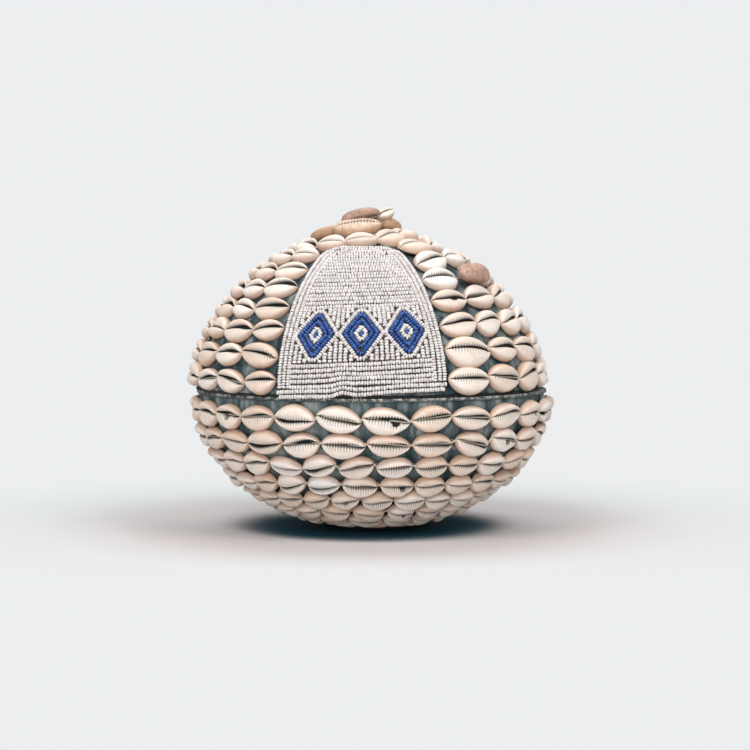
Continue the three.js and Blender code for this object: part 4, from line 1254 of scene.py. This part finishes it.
def add_band():
    """Three lozenges of blue loops, in a field of upright white strands."""
    middle = (BAND_START + BAND_END) / 2
    spacing = float(field_half_angle(middle)) - angle_of(LOZENGE_HALF_WIDTH + LOZENGE_MARGIN,
                                                         middle)
    field = Beads(46)
    for place, name in ((-1, "left"), (0, "middle"), (1, "right")):
        centre = float(panel_middle(middle)) + place * spacing
        motif = Beads(47 + place)
        for inset, look in ((1.2 * mm, 1), (3.65 * mm, 1), (6.1 * mm, 0)):
            x, y = lozenge_loop(inset)
            motif.strand(middle + y, centre + angle_of(x, middle + y), look)
        rise = np.linspace(-1.5 * mm, 1.5 * mm, 5)
        motif.strand(middle + rise, centre + 0 * rise, 1)
        motif.finish(f"panel_lozenge_{name}", f"panel_lozenge_{name}", "blue_bead")
        x, y = lozenge_loop(-1.3 * mm)
        y = np.clip(y, BAND_START - middle + 1.2 * mm, BAND_END - middle - 1.2 * mm)
        field.strand(middle + y, centre + angle_of(x, middle + y))

    columns = int(2 * float(field_half_angle(middle)) * lid.radius(middle) / STRAND_PITCH)
    half_wide, half_high, _ = lozenge_edge(-2.7 * mm)
    s = np.linspace(BAND_START - 0.1 * mm, BAND_END + 0.1 * mm, 120)
    for k in range(columns):
        azimuth = panel_middle(s) + ((k + 0.5) / columns * 2 - 1) * field_half_angle(s)
        free = np.ones(len(s), bool)
        for place in (-1, 0, 1):
            x = (azimuth - panel_middle(s) - place * spacing) * lid.radius(s)
            free &= np.abs(x) / half_wide + np.abs(s - middle) / half_high > 1
        edges = np.flatnonzero(np.diff(np.concatenate([[0], free.astype(int), [0]])))
        for first, last in zip(edges[::2], edges[1::2]):
            if s[last - 1] - s[first] > 1.4 * mm:
                field.strand(s[first:last], azimuth[first:last])
    field.finish("panel_strands_band", "panel_beads_band")


def add_backing():
    """Cloth under the beads: a closed sheet with a top and an underside."""
    rows, columns = 60, 50
    s = np.linspace(PANEL_RIM_MARGIN, panel_top, rows)[:, None]
    half = panel_half_angle(s)
    azimuth = panel_middle(s) + np.linspace(-1, 1, columns)[None] * half
    under = lid.place(s, azimuth, BACKING_LIFT)
    over = lid.place(s, azimuth, BACKING_LIFT + BACKING)
    last = (rows - 1) * 2 * columns
    ends = []
    for k in range(columns - 1):
        back = 2 * columns - 1 - k
        ends += [[k, k + 1, back - 1, back], [last + back, last + back - 1, last + k + 1, last + k]]
    quads = np.concatenate([grid(rows, 2 * columns, False, True), np.array(ends)])
    backing = add_piece("panel_backing", "lid", "tape", "backing",
                        (np.concatenate([under, over[:, ::-1]], 1), quads))


def showing(tree):
    """1 for the rays that show the backdrop: from the camera, mirrored or through glass."""
    paths = tree.nodes.new("ShaderNodeLightPath").outputs
    total = paths["Is Camera Ray"]
    for kind in ("Is Glossy Ray", "Is Transmission Ray"):
        node = tree.nodes.new("ShaderNodeMath")
        node.operation, node.use_clamp = "ADD", True
        tree.links.new(total, node.inputs[0])
        tree.links.new(paths[kind], node.inputs[1])
        total = node.outputs[0]
    return total


def blend_shaders(tree, share, first, second, output):
    mix = tree.nodes.new("ShaderNodeMixShader")
    for socket, value in zip(mix.inputs, (share, first, second)):
        tree.links.new(value, socket)
    tree.links.new(mix.outputs["Shader"], tree.nodes[output].inputs["Surface"])


def add_camera_and_lights():
    camera = bpy.data.cameras.new("camera")
    camera.lens, camera.clip_start = LENS, 0.05
    scene = bpy.context.scene
    scene.camera = in_scene("camera", camera, EYE, TARGET)
    scene.view_settings.view_transform = "Standard"
    for name, (place, size, power, colour) in LAMPS.items():
        lamp = bpy.data.lights.new(name, "AREA")
        lamp.shape, lamp.size, lamp.energy, lamp.color = "SQUARE", size, power, colour
        in_scene(name, lamp, place, LAMP_AIM)

    scene.world = bpy.data.worlds.new("studio")
    scene.world.use_nodes = True
    tree = scene.world.node_tree
    room, seen = tree.nodes["Background"], tree.nodes.new("ShaderNodeBackground")
    room.inputs["Color"].default_value = (*ROOM, 1)
    room.inputs["Strength"].default_value = ROOM_STRENGTH
    seen.inputs["Color"].default_value = (*BACKDROP, 1)
    blend_shaders(tree, showing(tree), room.outputs[0], seen.outputs[0], "World Output")


def add_floor():
    """A pale floor that keeps the object's shadow, with a painted contact shadow added, and fades
    into the backdrop's colour.
    """
    look = Look("pale_floor", Roughness=0.95, Specular_IOR_Level=0.1)
    # Painted shadow: seen from the camera, the floor darkens to near-black teal where the object
    # hides its sky, with a paler pinkish ring round that and a faint pinkish shade further out.
    open_sky = look.node("ShaderNodeAmbientOcclusion", {"Distance": SHADE_REACH}).outputs["AO"]
    painted_floor_shadow = look.ramp(open_sky, (0.0, (0.0, 0.018, 0.032)), (0.30, (0.004, 0.07, 0.105)),
                      (0.37, (0.34, 0.31, 0.32)), (0.44, (0.72, 0.68, 0.69)),
                      (0.75, (0.58, 0.53, 0.535)), (1.0, FLOOR))
    look.set(look.shader.inputs["Base Color"], look.mix(showing(look.tree), FLOOR, painted_floor_shadow))
    glow = look.node("ShaderNodeEmission", {"Color": (*BACKDROP, 1)})
    x, y, _ = look.node("ShaderNodeSeparateXYZ", {"Vector": look.place}).outputs
    square = look.sum("ADD", look.sum("MULTIPLY", x, x), look.sum("MULTIPLY", y, y))
    fade = {"Value": look.sum("SQRT", square), "From Min": FLOOR_FADE[0],
            "From Max": FLOOR_FADE[1]}
    far = look.node("ShaderNodeMapRange", fade, interpolation_type="SMOOTHSTEP").outputs["Result"]
    blend_shaders(look.tree, look.sum("MULTIPLY", far, showing(look.tree)),
                  look.shader.outputs[0], glow.outputs[0], "Material Output")
    mesh = bpy.data.meshes.new("floor")
    corners = [(x * FLOOR_REACH, y * FLOOR_REACH, 0)
               for x, y in ((-1, -1), (1, -1), (1, 1), (-1, 1))]
    mesh.from_pydata(corners, [], [(0, 1, 2, 3)])
    mesh.materials.append(look.material)
    in_scene("floor", mesh)


add_camera_and_lights()
add_floor()
add_gourd(bowl, 21)
add_gourd(lid, 22)
add_cover(bowl, 31)
add_cover(lid, 32)
add_rim_pieces()
add_collar()
add_pad()
add_shells()
add_crown()
add_backing()
add_upper_strands()
add_band()
add_lower_strands()
add_border(-1, "panel_border_left")
add_border(1, "panel_border_right")
